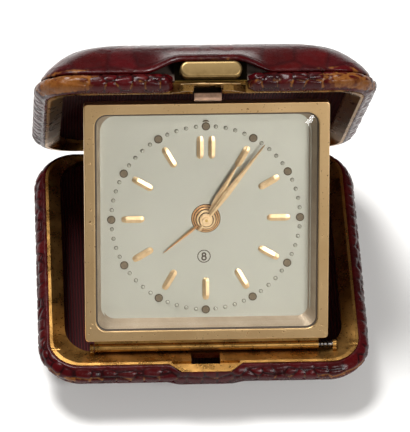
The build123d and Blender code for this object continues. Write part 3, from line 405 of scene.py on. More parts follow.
# Domed covers: the leather is drawn wet over each shell, its lip turned in above the band. The lid's lip
# rises in a brow over the push button. The rows run from the middle of the outside over the lip and back
# inside, written as the bands' rows are.
HALF_DEPTH = {"base": 16.5, "lid": 16.0}
LIP_LEVEL = 6.2
LIP_FADE = 13.5
BROW_RISE = 3.0
BROW_REACH = 1.6
BROW_SHIFT = 0.5
BROW_TOP = BUMP_TOP + 0.8
BROW_ROOT = BUMP_ROOT + 7.5
DOME_BUMP_REACH = 0.9
DOME_EMBOSS = 0.8
DOME_FRONT_LOSS = 0.45
EMBOSSED_ROWS = 90
DOME_GROOVE_SHARE = 0.045
DOME_GROOVE_DEPTH = 0.16
LIP_WEAR = 0.13
LIP_CORNER_WEAR = 0.12
SHOULDER_WEAR = 0.05
MIDDLE = -38.1
dome_rows = smooth_rows([
    (16.5, MIDDLE, MIDDLE), (16.5, -35.5, -35.5), (16.5, -32.5, -32.5), (16.5, -29.5, -29.5),
    (16.5, -26.5, -25.5), (16.5, -23.5, -21.5), (16.5, -20.5, -17), (16.5, -17.5, -12), (16.42, -13.5, -4),
    (15.6, -10.2, -1.2), (14.2, -6.7, 0.1), (12.2, -3.9, 0.6), (10.1, -1.7, 0.85), (8.2, 0.0, 1.0),
    (6.9, 1.15, 1.1), (6.0, 1.75, 1.1), (5.5, 1.8, 1.0), (5.2, 1.35, 0.8), (5.25, 0.6, 0.3), (5.9, 0.1, 0.0),
    (8.2, -1.1, 0.0), (10.2, -2.9, -0.3), (14.2, -8.2, -1.2), (15.3, -14, -5), (15.3, MIDDLE, MIDDLE),
], 5)


def leather_dome(half):
    """Domed cover of a half, with its lip over the band and, on the lid, a brow over the latch button."""
    rows, worn, embossed = [], [], []
    for depth, side, rear in dome_rows:
        x, y = rim_path(side, rear)
        level = np.full_like(x, min(depth, HALF_DEPTH[half]))
        front = smooth_step(y, FRONT - 9, FRONT - 2)
        if half == "lid":
            near = 1 - smooth_step(np.abs(x - BROW_SHIFT), BROW_TOP, BROW_ROOT)
            lip = 1 - smooth_step(depth, LIP_LEVEL, LIP_FADE)
            level = level + BROW_RISE * near * front * lip
            y = y + BROW_REACH * near * front * lip * smooth_step(side, -4, 1.6)
        else:
            bump_share = (1 - smooth_step(np.abs(x), BUMP_TOP, BUMP_ROOT + 1)) * front
            low = 1 - smooth_step(depth, 5.6, 11)
            y = y + DOME_BUMP_REACH * bump_share * low * smooth_step(side, -2, 1.3)
        rows.append(placed(half, *clear_of_hinge(x, y, level)))
        ridge = smooth_step(side, 0.9, 1.7)
        shoulder = SHOULDER_WEAR * smooth_step(np.hypot(x, y), 28, 44)
        worn.append((LIP_WEAR + LIP_CORNER_WEAR * front_corner(x, y)) * ridge + shoulder)
        outside = float(len(rows) < EMBOSSED_ROWS)
        embossed.append(DOME_EMBOSS * outside * (1 - DOME_FRONT_LOSS * smooth_step(y, 20, 34)))
    points, worn, embossed = (np.array(table)[:, :-1] for table in (rows, worn, embossed))
    return embossed_leather("_leather_dome", half, points, worn, embossed, DOME_SCALE, DOME_GROOVE_SHARE,
                            DOME_GROOVE_DEPTH, wrap_columns=True, cap_ends=True)


for half in ("base", "lid"):
    leather_band(half)
    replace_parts(leather_dome(half), half + "_leather")

# Card shells inside the leather: brown pressed board, seen only where the lining leaves its edge.
# Its fibres give it a dull, faintly speckled face.
FIBRE = 1.11
brown_board = surface("pressed brown board")
t = brown_board.node_tree
where = add(t, "ShaderNodeTexCoord").outputs["Object"]
fibre = add(t, "ShaderNodeTexNoise", None,
            {"Vector": where, "Scale": 1 / (FIBRE * MM), "Detail": 6, "Roughness": 0.7})
colour = add(t, "ShaderNodeMix", {"data_type": "RGBA"},
             {0: fibre.outputs["Fac"], 6: linear("#2a1e18"), 7: linear("#4c3a2f")})
bump = add(t, "ShaderNodeBump", None, {"Strength": 0.3, "Distance": 0.1 * MM, "Height": fibre.outputs["Fac"]})
shader = add(t, "ShaderNodeBsdfPrincipled", None,
             {"Base Color": colour.outputs[2], "Roughness": 0.85, "Normal": bump.outputs[0]})
add(t, "ShaderNodeOutputMaterial", None, {"Surface": shader.outputs[0]})


def finish_nodes(material, *names):
    """Gives CAD nodes a material."""
    for name in names:
        mesh = frame["nodes"][name].data
        mesh.materials.clear()
        mesh.materials.append(material)


finish_nodes(brown_board, "base_shell", "lid_shell")

# Ribbed silk lining, glued down over the card from under the rim's flange to the floor of each half.
# Its ribs run from front to back; it is one cut of cloth in each half, pressed into the corners.
# The real silk's threads are finer than its render can show, so they are drawn 0.385 mm apart.
RIB_PITCH = 0.85
RIB_WANDER = 6.25
THREAD_SPACING = 0.385
WAVE_LENGTHS = 3.18  # waves that the wave texture makes in one unit
ribbed_silk = surface("ribbed burgundy silk")
t = ribbed_silk.node_tree
where = add(t, "ShaderNodeTexCoord").outputs["Object"]
wander = add(t, "ShaderNodeTexNoise", None, {"Vector": where, "Scale": 1 / (RIB_WANDER * MM), "Detail": 2})
bent = add(t, "ShaderNodeVectorMath", {"operation": "MULTIPLY_ADD"},
           {0: wander.outputs["Color"], 1: (0.3 * MM, 0, 0), 2: where})
ribs = add(t, "ShaderNodeTexWave", {"bands_direction": "X", "wave_profile": "SIN"},
           {"Vector": bent.outputs[0], "Scale": 1 / (RIB_PITCH * MM * WAVE_LENGTHS)})
thread = add(t, "ShaderNodeTexNoise", None,
             {"Vector": where, "Scale": 1 / (THREAD_SPACING * MM), "Detail": 3})
# Painted shade and sheen: the cloth's colour runs dark in the valleys between ribs and lighter on their
# crests.
colour = add(t, "ShaderNodeMix", {"data_type": "RGBA"},
             {0: ribs.outputs["Fac"], 6: linear("#1a0203"), 7: linear("#561014")})
shade = add(t, "ShaderNodeMix", {"data_type": "RGBA"},
            {0: thread.outputs["Fac"], 6: colour.outputs[2], 7: linear("#3a080d")})
bump = add(t, "ShaderNodeBump", None, {"Strength": 0.8, "Distance": 0.2 * MM, "Height": ribs.outputs["Fac"]})
shader = add(t, "ShaderNodeBsdfPrincipled", None,
             {"Base Color": shade.outputs[2], "Roughness": 0.55, "Normal": bump.outputs[0],
              "Sheen Weight": 0.06, "Specular IOR Level": 0.2})
add(t, "ShaderNodeOutputMaterial", None, {"Surface": shader.outputs[0]})

LINING_THICKNESS = 0.35
LATCH_ROOM = 21.4
LATCH_DEPTH = 12.5
LATCH_HEIGHT = 10.5
lining_rows = smooth_rows([
    (3.05, -1.0, -1.35), (4.6, -2.0, -1.5), (7.0, -4.1, -1.8), (9.2, -6.1, -2.1), (11.2, -8.7, -2.5),
    (12.8, -11.6, -3.2), (13.55, -14.8, -5.2), (13.75, -19, -12), (13.75, -38.1, -38.1),
], 5)


def cut_latch_room(cloth):
    """Cuts the lid's cloth away round the latch, where the button and the hook move."""
    shape = bmesh.new()
    shape.from_mesh(cloth.data)
    cut = []
    for face in shape.faces:
        x, y, z = face.calc_center_median() / MM
        behind, above = HINGE_REACH - y, z - RIM_HEIGHT
        reach = behind * cos(tilt) + above * sin(tilt) - HINGE_REACH
        depth = above * cos(tilt) - behind * sin(tilt)
        beside = abs(x - LATCH_SHIFT) < LATCH_ROOM / 2
        if beside and reach > FRONT - LATCH_DEPTH and depth < LATCH_HEIGHT:
            cut.append(face)
    bmesh.ops.delete(shape, geom=cut, context="FACES")
    shape.to_mesh(cloth.data)
    shape.free()


def silk_lining(half):
    """Lining cloth of a half, with its thickness."""
    rows = []
    for depth, side, rear in lining_rows:
        x, y = rim_path(side, rear)
        rows.append(placed(half, x, y, np.full_like(x, depth)))
    piece = skin(half + "_silk_lining", np.array(rows)[:, :-1], {}, wrap_columns=True)
    if half == "lid":
        cut_latch_room(piece)
    bpy.context.view_layer.update()
    thick = piece.modifiers.new("cloth", "SOLIDIFY")
    thick.thickness = LINING_THICKNESS * MM
    thick.offset = 0
    piece.data.materials.append(ribbed_silk)
    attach(piece, half)
    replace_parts(piece, half + "_lining")


for half in ("base", "lid"):
    silk_lining(half)

# Gilt brass of the case rims and the hinge leaf: stamped, polished and lacquered. Its olive gold is set
# darker as painted reflection of dark surroundings. Clouds of tarnish vary its gloss, and small dark specks
# show where the lacquer has gone.
TARNISH_CLOUD = 5.56
SPECK_SPACING = 0.588
case_brass = surface("olive gilt brass darkened as painted reflection")
t = case_brass.node_tree
where = add(t, "ShaderNodeTexCoord").outputs["Object"]
tarnish = add(t, "ShaderNodeTexNoise", None,
              {"Vector": where, "Scale": 1 / (TARNISH_CLOUD * MM), "Detail": 6, "Roughness": 0.65})
specks = add(t, "ShaderNodeTexNoise", None,
             {"Vector": where, "Scale": 1 / (SPECK_SPACING * MM), "Detail": 2, "Roughness": 0.6})
spots = add(t, "ShaderNodeMapRange", {"interpolation_type": "SMOOTHSTEP"},
            {"Value": specks.outputs["Fac"], 1: 0.6, 2: 0.7, 3: 0, 4: 1})
# Painted reflection: both tones are set darker to stand in for the dark surroundings that the metal mirrors.
colour = add(t, "ShaderNodeMix", {"data_type": "RGBA"},
             {0: tarnish.outputs["Fac"], 6: linear("#7d5a2b"), 7: linear("#c99a58")})
spotted = add(t, "ShaderNodeMix", {"data_type": "RGBA"},
              {0: spots.outputs[0], 6: colour.outputs[2], 7: linear("#4c3314")})
gloss = add(t, "ShaderNodeMapRange", None,
            {"Value": tarnish.outputs["Fac"], 1: 0.3, 2: 0.7, 3: 0.22, 4: 0.38})
bump = add(t, "ShaderNodeBump", None,
           {"Strength": 0.15, "Distance": 0.1 * MM, "Height": specks.outputs["Fac"]})
shader = add(t, "ShaderNodeBsdfPrincipled", None,
             {"Base Color": spotted.outputs[2], "Metallic": 1, "Roughness": gloss.outputs[0],
              "Normal": bump.outputs[0]})
add(t, "ShaderNodeOutputMaterial", None, {"Surface": shader.outputs[0]})
finish_nodes(case_brass, "base_frame", "lid_frame", "clock_hinge_leaf")

# Latch: its brass goes nearly black deeper in the lid. This is painted shade in the recess round the button
# and painted shadow in the hook's notch. The ledge under the button and the worn tip of the hook below the
# rim stay light.
# The button is satin from the thumb, and its gilding is darker towards the rim. Each tone changes with the
# depth into the lid, from the rim.
STAIN_PATCH = 1.92
STAIN_CONTRAST = 1.7


def latch_finish(name, dark, light, dark_depth, light_depth, rough):
    """Brass whose tone goes from dark to light between two depths into the lid."""
    made = surface(name)
    t = made.node_tree
    where = add(t, "ShaderNodeTexCoord").outputs["Object"]
    into = add(t, "ShaderNodeVectorMath", {"operation": "DOT_PRODUCT"},
               {0: where, 1: (0, sin(tilt), cos(tilt))})
    rim_offset = (HINGE_REACH * sin(tilt) + RIM_HEIGHT * cos(tilt)) * MM
    depth = add(t, "ShaderNodeMath", {"operation": "SUBTRACT"}, {0: into.outputs["Value"], 1: rim_offset})
    rim_share = add(t, "ShaderNodeMapRange", {"interpolation_type": "SMOOTHSTEP"},
                     {"Value": depth.outputs[0], 1: light_depth * MM, 2: dark_depth * MM, 3: 1, 4: 0})
    stain = add(t, "ShaderNodeTexNoise", None,
                {"Vector": where, "Scale": 1 / (STAIN_PATCH * MM), "Detail": 5, "Roughness": 0.65})
    patchy_rim_share = add(t, "ShaderNodeMath", {"operation": "MULTIPLY"},
                  {0: rim_share.outputs[0], 1: stain.outputs["Fac"]})
    share = add(t, "ShaderNodeMath", {"operation": "MULTIPLY", "use_clamp": True},
                {0: patchy_rim_share.outputs[0], 1: STAIN_CONTRAST})
    colour = add(t, "ShaderNodeMix", {"data_type": "RGBA"},
                 {0: share.outputs[0], 6: linear(dark), 7: linear(light)})
    bump = add(t, "ShaderNodeBump", None,
               {"Strength": 0.12, "Distance": 0.1 * MM, "Height": stain.outputs["Fac"]})
    shader = add(t, "ShaderNodeBsdfPrincipled", None,
                 {"Base Color": colour.outputs[2], "Metallic": 1, "Roughness": rough,
                  "Normal": bump.outputs[0]})
    add(t, "ShaderNodeOutputMaterial", None, {"Surface": shader.outputs[0]})
    return made


# Painted shade: the housing is dark deeper than 3.4 mm and the hook above the rim, standing in for the
# recess's and the notch's shade.
finish_nodes(latch_finish("latch brass with painted shade", "#100c06", "#8a7038", 3.4, 2.9, 0.36), "latch_housing")
finish_nodes(latch_finish("hook brass with painted notch shadow", "#0e0a07", "#c09c84", 0.25, -0.1, 0.42), "latch_hook")
finish_nodes(latch_finish("button gilding darker towards the rim", "#9e855a", "#725c38", 9.0, 2.0, 0.44), "push_button")

# Bezel, body and back cover of the clock: brass with fine satin gilding, paler than the rims.
# Small pits have opened in the gilding, brown at their bottoms.
GILDING_CLOUD = 16.7
PIT_SPACING = 0.91
bezel_gilt = surface("satin gilding")
t = bezel_gilt.node_tree
where = add(t, "ShaderNodeTexCoord").outputs["Object"]
cloud = add(t, "ShaderNodeTexNoise", None,
            {"Vector": where, "Scale": 1 / (GILDING_CLOUD * MM), "Detail": 5, "Roughness": 0.6})
grit = add(t, "ShaderNodeTexNoise", None,
           {"Vector": where, "Scale": 1 / (PIT_SPACING * MM), "Detail": 3, "Roughness": 0.7})
pits = add(t, "ShaderNodeMapRange", {"interpolation_type": "SMOOTHSTEP"},
           {"Value": grit.outputs["Fac"], 1: 0.63, 2: 0.7, 3: 0, 4: 1})
colour = add(t, "ShaderNodeMix", {"data_type": "RGBA"},
             {0: cloud.outputs["Fac"], 6: linear("#b08d5e"), 7: linear("#d2b386")})
pitted = add(t, "ShaderNodeMix", {"data_type": "RGBA"},
             {0: pits.outputs[0], 6: colour.outputs[2], 7: linear("#5b4120")})
bump = add(t, "ShaderNodeBump", {"invert": True},
           {"Strength": 0.4, "Distance": 0.1 * MM, "Height": pits.outputs[0]})
shader = add(t, "ShaderNodeBsdfPrincipled", None,
             {"Base Color": pitted.outputs[2], "Metallic": 1, "Roughness": 0.36, "Normal": bump.outputs[0]})
add(t, "ShaderNodeOutputMaterial", None, {"Surface": shader.outputs[0]})
finish_nodes(bezel_gilt, "bezel", "clock_body", "back_cover")

# Polished edge of the brass strip under the button, finished in the paler bezel gilding so that it shows as a
# bright
# line: a painted highlight on a real edge. Its section is given as reach from the rim's front edge and depth
# into the lid.
STRIP_LEFT = -7.4
STRIP_RIGHT = 8.6
strip_rows = []
for reach, depth in ((2.3, 1.75), (2.9, 1.75), (3.15, 1.95), (2.9, 2.15), (2.3, 2.15)):
    ends = np.array([STRIP_LEFT, STRIP_RIGHT])
    strip_rows.append(placed("lid", ends, np.full(2, FRONT + reach), np.full(2, depth)))
strip = skin("latch_highlight_strip", np.array(strip_rows), {}, wrap_rows=True, cap_ends=True)
strip.data.materials.append(bezel_gilt)
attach(strip, "lid")

# Crystal: cast glass with a broad ground bevel round its raised middle. It lets light through to the dial,
# and a trace of dust dulls it in places.
DUST_PATCH = 3.33
crystal_glass = surface("clear cast glass")
t = crystal_glass.node_tree
where = add(t, "ShaderNodeTexCoord").outputs["Object"]
dust = add(t, "ShaderNodeTexNoise", None, {"Vector": where, "Scale": 1 / (DUST_PATCH * MM), "Detail": 4})
haze = add(t, "ShaderNodeMapRange", None, {"Value": dust.outputs["Fac"], 1: 0.4, 2: 0.7, 3: 0.0, 4: 0.04})
shader = add(t, "ShaderNodeBsdfPrincipled", None,
             {"Base Color": linear("#f9f9f7"), "Roughness": haze.outputs[0], "Transmission Weight": 1,
              "IOR": 1.3})
passing = add(t, "ShaderNodeBsdfTransparent", None, {"Color": linear("#fafaf8")})
path = add(t, "ShaderNodeLightPath")
either = add(t, "ShaderNodeMath", {"operation": "MAXIMUM"},
             {0: path.outputs["Is Shadow Ray"], 1: path.outputs["Is Diffuse Ray"]})
mixed = add(t, "ShaderNodeMixShader", None,
            {0: either.outputs[0], 1: shader.outputs[0], 2: passing.outputs[0]})
add(t, "ShaderNodeOutputMaterial", None, {"Surface": mixed.outputs[0]})
finish_nodes(crystal_glass, "crystal")

# Dial: a brass plate silvered and lacquered, now a warm grey that browns towards its left and right edges.
# Rubbing in the silver leaves a fine grain.
SILVER_GRAIN = 0.455
LACQUER_CLOUD = 22.2
BROWNED_FROM = 27.0
BROWNED_TO = 30.5
silvered_dial = surface("silvered dial")
t = silvered_dial.node_tree
where = add(t, "ShaderNodeTexCoord").outputs["Object"]
grain = add(t, "ShaderNodeTexNoise", None, {"Vector": where, "Scale": 1 / (SILVER_GRAIN * MM), "Detail": 2})
age = add(t, "ShaderNodeTexNoise", None, {"Vector": where, "Scale": 1 / (LACQUER_CLOUD * MM), "Detail": 4})
colour = add(t, "ShaderNodeMix", {"data_type": "RGBA"},
             {0: age.outputs["Fac"], 6: linear("#aaa89c"), 7: linear("#bcbaae")})
across = add(t, "ShaderNodeSeparateXYZ", None, {"Vector": where})
aside = add(t, "ShaderNodeMath", {"operation": "ABSOLUTE"}, {0: across.outputs["X"]})
border = add(t, "ShaderNodeMapRange", {"interpolation_type": "SMOOTHSTEP"},
             {"Value": aside.outputs[0], 1: BROWNED_FROM * MM, 2: BROWNED_TO * MM, 3: 0, 4: 0.55})
browned = add(t, "ShaderNodeMix", {"data_type": "RGBA"},
              {0: border.outputs[0], 6: colour.outputs[2], 7: linear("#8f7a5e")})
bump = add(t, "ShaderNodeBump", None,
           {"Strength": 0.1, "Distance": 0.05 * MM, "Height": grain.outputs["Fac"]})
shader = add(t, "ShaderNodeBsdfPrincipled", None,
             {"Base Color": browned.outputs[2], "Roughness": 0.45, "Metallic": 0.25,
              "Normal": bump.outputs[0]})
add(t, "ShaderNodeOutputMaterial", None, {"Surface": shader.outputs[0]})
finish_nodes(silvered_dial, "dial")


# Sloping frame round the dial: pressed brass, silvered as the dial is. It is browner and more patchy than
# the dial.
def clouded(name, patch, detail, dark, light, rough, metal=0.0):
    """Finish that drifts between two tones in patches of a size in millimetres."""
    made = surface(name)
    t = made.node_tree
    where = add(t, "ShaderNodeTexCoord").outputs["Object"]
    cloud = add(t, "ShaderNodeTexNoise", None,
                {"Vector": where, "Scale": 1 / (patch * MM), "Detail": detail})
    colour = add(t, "ShaderNodeMix", {"data_type": "RGBA"},
                 {0: cloud.outputs["Fac"], 6: linear(dark), 7: linear(light)})
    shader = add(t, "ShaderNodeBsdfPrincipled", None,
                 {"Base Color": colour.outputs[2], "Roughness": rough, "Metallic": metal})
    add(t, "ShaderNodeOutputMaterial", None, {"Surface": shader.outputs[0]})
    return made


silvered_frame = clouded("silvered frame", 4.17, 5, "#8f7c68", "#b8a894", 0.4, 0.5)
finish_nodes(silvered_frame, "inner_frame")

# Gilding of batons and hands: facetted brass, polished and then gilt. The alarm hand and the collet have a
# rose gilding with more copper in it.
polished_gilt = clouded("polished gilding", 1.43, 3, "#c4a074", "#e6cca6", 0.42, 0.9)
rose_gilt = clouded("rose gilding", 1.11, 3, "#c8925f", "#eabf92", 0.36, 0.9)
finish_nodes(polished_gilt, "hand_nut")

# Hour batons: round-ended brass bars with two long facets, pinned to the dial and doubled at the twelve.
# Each facet catches the light as a whole. Places on the dial are given from the minute hand's axis: u to
# the right, v towards twelve and h out of the dial.
def joint_named(name):
    """A joint of the record."""
    return next(joint for joint in frame["record"]["behaviour"]["joints"] if joint["name"] == name)


DIAL_CENTRE = np.array(joint_named("minute_spin")["pos_m"])
DIAL_OUT = -np.array(joint_named("minute_spin")["axis"])
DIAL_UP = np.cross(DIAL_OUT, (1, 0, 0))


def on_dial(u, v, h):
    """World point above the dial, from millimetres."""
    return DIAL_CENTRE + MM * (u * np.array((1, 0, 0)) + v * DIAL_UP + h * DIAL_OUT)


def turned_out(angle, across, along, h):
    """World point of a piece that lies along a clockwise angle from twelve."""
    a = radians(angle)
    return on_dial(along * sin(a) + across * cos(a), along * cos(a) - across * sin(a), h)


def dial_piece(name, points, faces, material, body, slot, *nodes):
    """Piece of flat facets on the dial, made from world points."""
    mesh = bpy.data.meshes.new(name)
    mesh.from_pydata([tuple(point) for point in points], [], faces)
    mesh.materials.append(material)
    shape = bmesh.new()
    shape.from_mesh(mesh)
    bmesh.ops.recalc_face_normals(shape, faces=shape.faces)
    shape.to_mesh(mesh)
    shape.free()
    piece = linked(name, mesh)
    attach(piece, body)
    if nodes:
        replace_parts(piece, *nodes)
    return piece


def between_loops(here, there, count):
    """Faces between two loops of points, from the number of each loop's first point."""
    return [(here + k, here + (k + 1) % count, there + (k + 1) % count, there + k) for k in range(count)]


def ridged(points, faces, angle, outline, low, high):
    """Adds a closed bar, ridged along its middle; its outline is along, half width and share of height."""
    first = len(points)
    corners = 5
    for along, half, rise in outline:
        top = low + (high - low) * rise
        shoulder = (low + top) / 2
        section = ((-half, low), (-half, shoulder), (0, top), (half, shoulder), (half, low))
        points += [turned_out(angle, across, along, h) for across, h in section]
    for part in range(len(outline) - 1):
        faces += between_loops(first + corners * part, first + corners * (part + 1), corners)
    last = first + corners * (len(outline) - 1)
    faces += [tuple(first + k for k in range(corners)), tuple(last + k for k in range(corners))]


def turned(points, faces, u, v, section, count, closed=False):
    """Adds a turned form from a section of radius and height, closed to a ring or open at its ends."""
    first = len(points)
    for radius, h in section:
        for k in range(count):
            a = 2 * pi * k / count
            points.append(on_dial(u + radius * sin(a), v + radius * cos(a), h))
    for row in range(len(section) if closed else len(section) - 1):
        faces += between_loops(first + row * count, first + (row + 1) % len(section) * count, count)


def disc(points, faces, u, v, low, high, radius, bore=0.0, count=40):
    """Adds a flat ring or disc between two heights."""
    chamfer = min(0.25, (high - low) * 0.8, (radius - bore) * 0.4)
    section = ((bore, low), (radius, low), (radius, high - chamfer), (radius - chamfer, high), (bore, high))
    turned(points, faces, u, v, section, count, closed=bore > 0)


HOURS = 12
TWELVE_SPREAD = 1.6
BATON_LOW = 0.02
BATON_HIGH = 0.62
BATON_OUTER = 23.2
BATON_INNER = 16.9
BATON_HALF = 0.92
points, faces = [], []
for hour in range(HOURS):
    for side in ((-TWELVE_SPREAD, TWELVE_SPREAD) if hour == 0 else (0, )):
        first = len(points)
        ridged(points, faces, 30 * hour,
               [(BATON_INNER, 0.35, 0.4), (BATON_INNER + 0.3, 0.7, 0.8), (BATON_INNER + 0.9, BATON_HALF, 1),
                (BATON_OUTER - 1.3, BATON_HALF, 1), (BATON_OUTER - 0.4, 0.8, 0.5), (BATON_OUTER, 0.5, 0.3)],
               BATON_LOW, BATON_HIGH)
        if side:
            points[first:] = [point + np.array((side * MM, 0, 0)) for point in points[first:]]
dial_piece("applied_batons", points, faces, polished_gilt, "clock", "polished_gilt", "hour_batons")

# Hands: lances stamped from brass, with two facets, each on a round hub, one above the other. A line gives a
# hand's angle from twelve, height, length, half width, hub, bore and tail. Each moves with its own wheel.
HAND_THICKNESS = 0.36
HUB_THICKNESS = 0.3
for name, node, body, angle, low, length, half, hub, bore, tail, material in (
        ("hour_pointer", "hour_hand", "hour_group", 29.0, 1.35, 18.0, 1.0, 2.7, 0.95, 3.6, polished_gilt),
        ("minute_pointer", "minute_hand", "minute_group", 37.3, 2.0, 26.4, 0.9, 1.9, 0.7, 3.6, polished_gilt),
        ("alarm_pointer", "alarm_hand", "alarm_group", 231.0, 0.7, 15.2, 0.42, 3.3, 1.25, 0.0, rose_gilt)):
    points, faces = [], []
    outline = [(-tail, half * 0.35, 1), (hub * 0.7, half * 0.55, 1), (length * 0.36, half, 1),
               (length * 0.97, half * 0.22, 1), (length, half * 0.1, 0.6)]
    ridged(points, faces, angle, outline, low, low + HAND_THICKNESS)
    disc(points, faces, 0, 0, low, low + HUB_THICKNESS, hub, bore)
    dial_piece(name, points, faces, material, body, "polished_gilt", node)

# Collet under the hands: a flat brass ring with a rose gilding, pressed on the dial round its centre hole.
# It lies under the alarm hand's hub and is a little wider.
points, faces = [], []
disc(points, faces, 0, 0, low=0.02, high=0.5, radius=3.9, bore=1.4)
dial_piece("dial_collet", points, faces, rose_gilt, "clock", "polished_gilt")

# Marks round the dial: this tree sets one small mark at the places of a ring of sixty, either at the hours or
# at the minutes between them. The mark that it repeats is made at the dial's middle.
DOT_RING = 26.0
DOT_RADIUS = 1.15
DOT_RIM_WIDTH = 0.22
MINUTES = 60
dial_ring = piece_tree("marks_round_the_dial", [("Ring Radius", "Float"), ("Lean", "Float"),
                                                ("At Hours", "Bool"), ("Finish", "Material")])
given = add(dial_ring, "NodeGroupInput")
circle = add(dial_ring, "GeometryNodeMeshCircle", None,
             {"Vertices": MINUTES, "Radius": given.outputs["Ring Radius"]})
lean = add(dial_ring, "ShaderNodeCombineXYZ", None, {"X": given.outputs["Lean"]})
leaned = add(dial_ring, "GeometryNodeTransform", None,
             {"Geometry": circle.outputs[0], "Rotation": lean.outputs[0]})
place = add(dial_ring, "GeometryNodeInputIndex")
fifth = add(dial_ring, "ShaderNodeMath", {"operation": "MODULO"}, {0: place.outputs[0], 1: MINUTES / HOURS})
at_hour = add(dial_ring, "FunctionNodeCompare", {"operation": "LESS_THAN"}, {0: fifth.outputs[0], 1: 0.5})
unwanted = add(dial_ring, "FunctionNodeBooleanMath", {"operation": "XOR"},
               {0: at_hour.outputs[0], 1: given.outputs["At Hours"]})
kept = add(dial_ring, "GeometryNodeDeleteGeometry", None,
           {"Geometry": leaned.outputs[0], "Selection": unwanted.outputs[0]})
marks = add(dial_ring, "GeometryNodeInstanceOnPoints", None,
            {"Points": kept.outputs[0], "Instance": given.outputs["Geometry"]})
real = add(dial_ring, "GeometryNodeRealizeInstances", None, {"Geometry": marks.outputs[0]})
dressed = add(dial_ring, "GeometryNodeSetMaterial", None,
              {"Geometry": real.outputs[0], "Material": given.outputs["Finish"]})
add(dial_ring, "NodeGroupOutput", None, {0: dressed.outputs[0]})


def round_dial(points, faces, at_hours, finish):
    """Points and faces of a mark repeated round the dial, at the hours or at the minutes between them."""
    mesh = bpy.data.meshes.new("dial_mark")
    mesh.from_pydata([tuple(point) for point in points], [], faces)
    mark = linked("dial_mark", mesh)
    grown(mark, dial_ring, {"Ring Radius": DOT_RING * MM, "Lean": atan2(DIAL_UP[2], DIAL_UP[1]),
                            "At Hours": at_hours, "Finish": finish})
    made_points = [tuple(vertex.co) for vertex in mark.data.vertices]
    made_faces = [tuple(face.vertices) for face in mark.data.polygons]
    bpy.data.objects.remove(mark)
    return made_points, made_faces


# Minute beads: small domes raised in the silvered plate by a punch from behind. Four stand between every
# two hours.
BEAD_SIDES = 12
bead_section = ((0.44, 0.01), (0.42, 0.25), (0.24, 0.42))
points, faces = [], []
turned(points, faces, 0, 0, bead_section, BEAD_SIDES)
faces.append(tuple((len(bead_section) - 1) * BEAD_SIDES + k for k in range(BEAD_SIDES)))
points, faces = round_dial(points, faces, False, silvered_dial)
dial_piece("minute_beads", points, faces, silvered_dial, "clock", "dial_silver")

# Painted shadow rings: thin dark rings between the hubs, one in each gap, each a little wider than the hub
# above it. They stand in for the shadows that show as dark circles round the bright hubs.
# Dark ink: the printed 8 and the dots' dark rims, and painted shade for the hub rings, the beads' rings and
# the line round the crystal.
ink_and_painted_shade = clouded("dark ink and painted shade", 0.333, 2, "#2c231a", "#4e4030", 0.6)
SHADOW_RING_THICKNESS = 0.12
points, faces = [], []
for low, radius, bore in ((0.005, 4.05, 3.7), (0.52, 3.48, 3.0), (1.12, 2.88, 2.2), (1.77, 2.1, 1.5)):
    disc(points, faces, 0, 0, low, low + SHADOW_RING_THICKNESS, radius, bore)
dial_piece("hub_shadow_rings", points, faces, ink_and_painted_shade, "clock", "hinge_steel")

# Dark rims: a raised, nearly black edge round each luminous dot, and a thin dark ring round each bead that is
# painted shadow at the bead's foot.
points, faces = [], []
disc(points, faces, 0, 0, low=0.01, high=0.3, radius=DOT_RADIUS, bore=DOT_RADIUS - DOT_RIM_WIDTH)
rims, rim_and_shadow_faces = round_dial(points, faces, True, ink_and_painted_shade)
points, faces = [], []
disc(points, faces, 0, 0, low=0.005, high=0.08, radius=0.55, bore=0.43, count=16)
bead_shadow_rings, bead_shadow_faces = round_dial(points, faces, False, ink_and_painted_shade)
rim_and_shadow_faces += [tuple(len(rims) + corner for corner in face) for face in bead_shadow_faces]
dial_piece("dot_rims_and_bead_shadows", rims + bead_shadow_rings, rim_and_shadow_faces, ink_and_painted_shade, "clock", "luminous_paint")

# Ringed 8 for the days of running: printed under the hands in thin ink. The figure is two small rings, one
# above the other.
EIGHT_SHIFT = -0.5
EIGHT_DROP = -10.8
INK_LOW = 0.005
INK_HIGH = 0.03
points, faces = [], []
disc(points, faces, EIGHT_SHIFT, EIGHT_DROP, INK_LOW, INK_HIGH, 1.85, 1.6)
for lobe, size in ((0.48, 0.46), (-0.5, 0.56)):
    disc(points, faces, EIGHT_SHIFT, EIGHT_DROP + lobe, INK_LOW, INK_HIGH, size + 0.2, size - 0.2)
dial_piece("ringed_eight", points, faces, ink_and_painted_shade, "clock", "dial_silver")

# Painted shadow line: a thin dark ring that fills the gap just inside the bezel's opening, on the crystal's
# border, where shade falls between crystal and bezel. Four loops of points make its section.
OPENING_HALF = 30.55
OPENING_CORNER = 3.2
SHADOW_LINE_WIDTH = 0.45
SHADOW_LINE_RISE = 0.2
QUARTER_POINTS = 9
points = []
for inset, h in ((0.02, 4.9), (0.02, 5.45), (SHADOW_LINE_WIDTH, 5.25), (SHADOW_LINE_WIDTH, 5.15)):
    half, corner = OPENING_HALF - inset, OPENING_CORNER - inset
    for quarter in range(4):
        for a in np.linspace(0, pi / 2, QUARTER_POINTS) + quarter * pi / 2:
            u = (half - corner) * (1 if quarter in (0, 3) else -1) + corner * cos(a)
            v = (half - corner) * (1 if quarter in (0, 1) else -1) + corner * sin(a)
            points.append(on_dial(u, v + SHADOW_LINE_RISE, h))
around = 4 * QUARTER_POINTS
faces = []
for row in range(4):
    faces += between_loops(around * row, around * ((row + 1) % 4), around)
dial_piece("crystal_shadow_line", points, faces, ink_and_painted_shade, "clock", "bezel_gilt")

# Luminous dots: paint that glows in the dark, filled by hand into small wells. It has aged to a dull,
# crumbly taupe.
finish_nodes(clouded("aged luminous paint", 0.556, 4, "#5c4f3e", "#8f7f69", 0.8), "hour_dots")

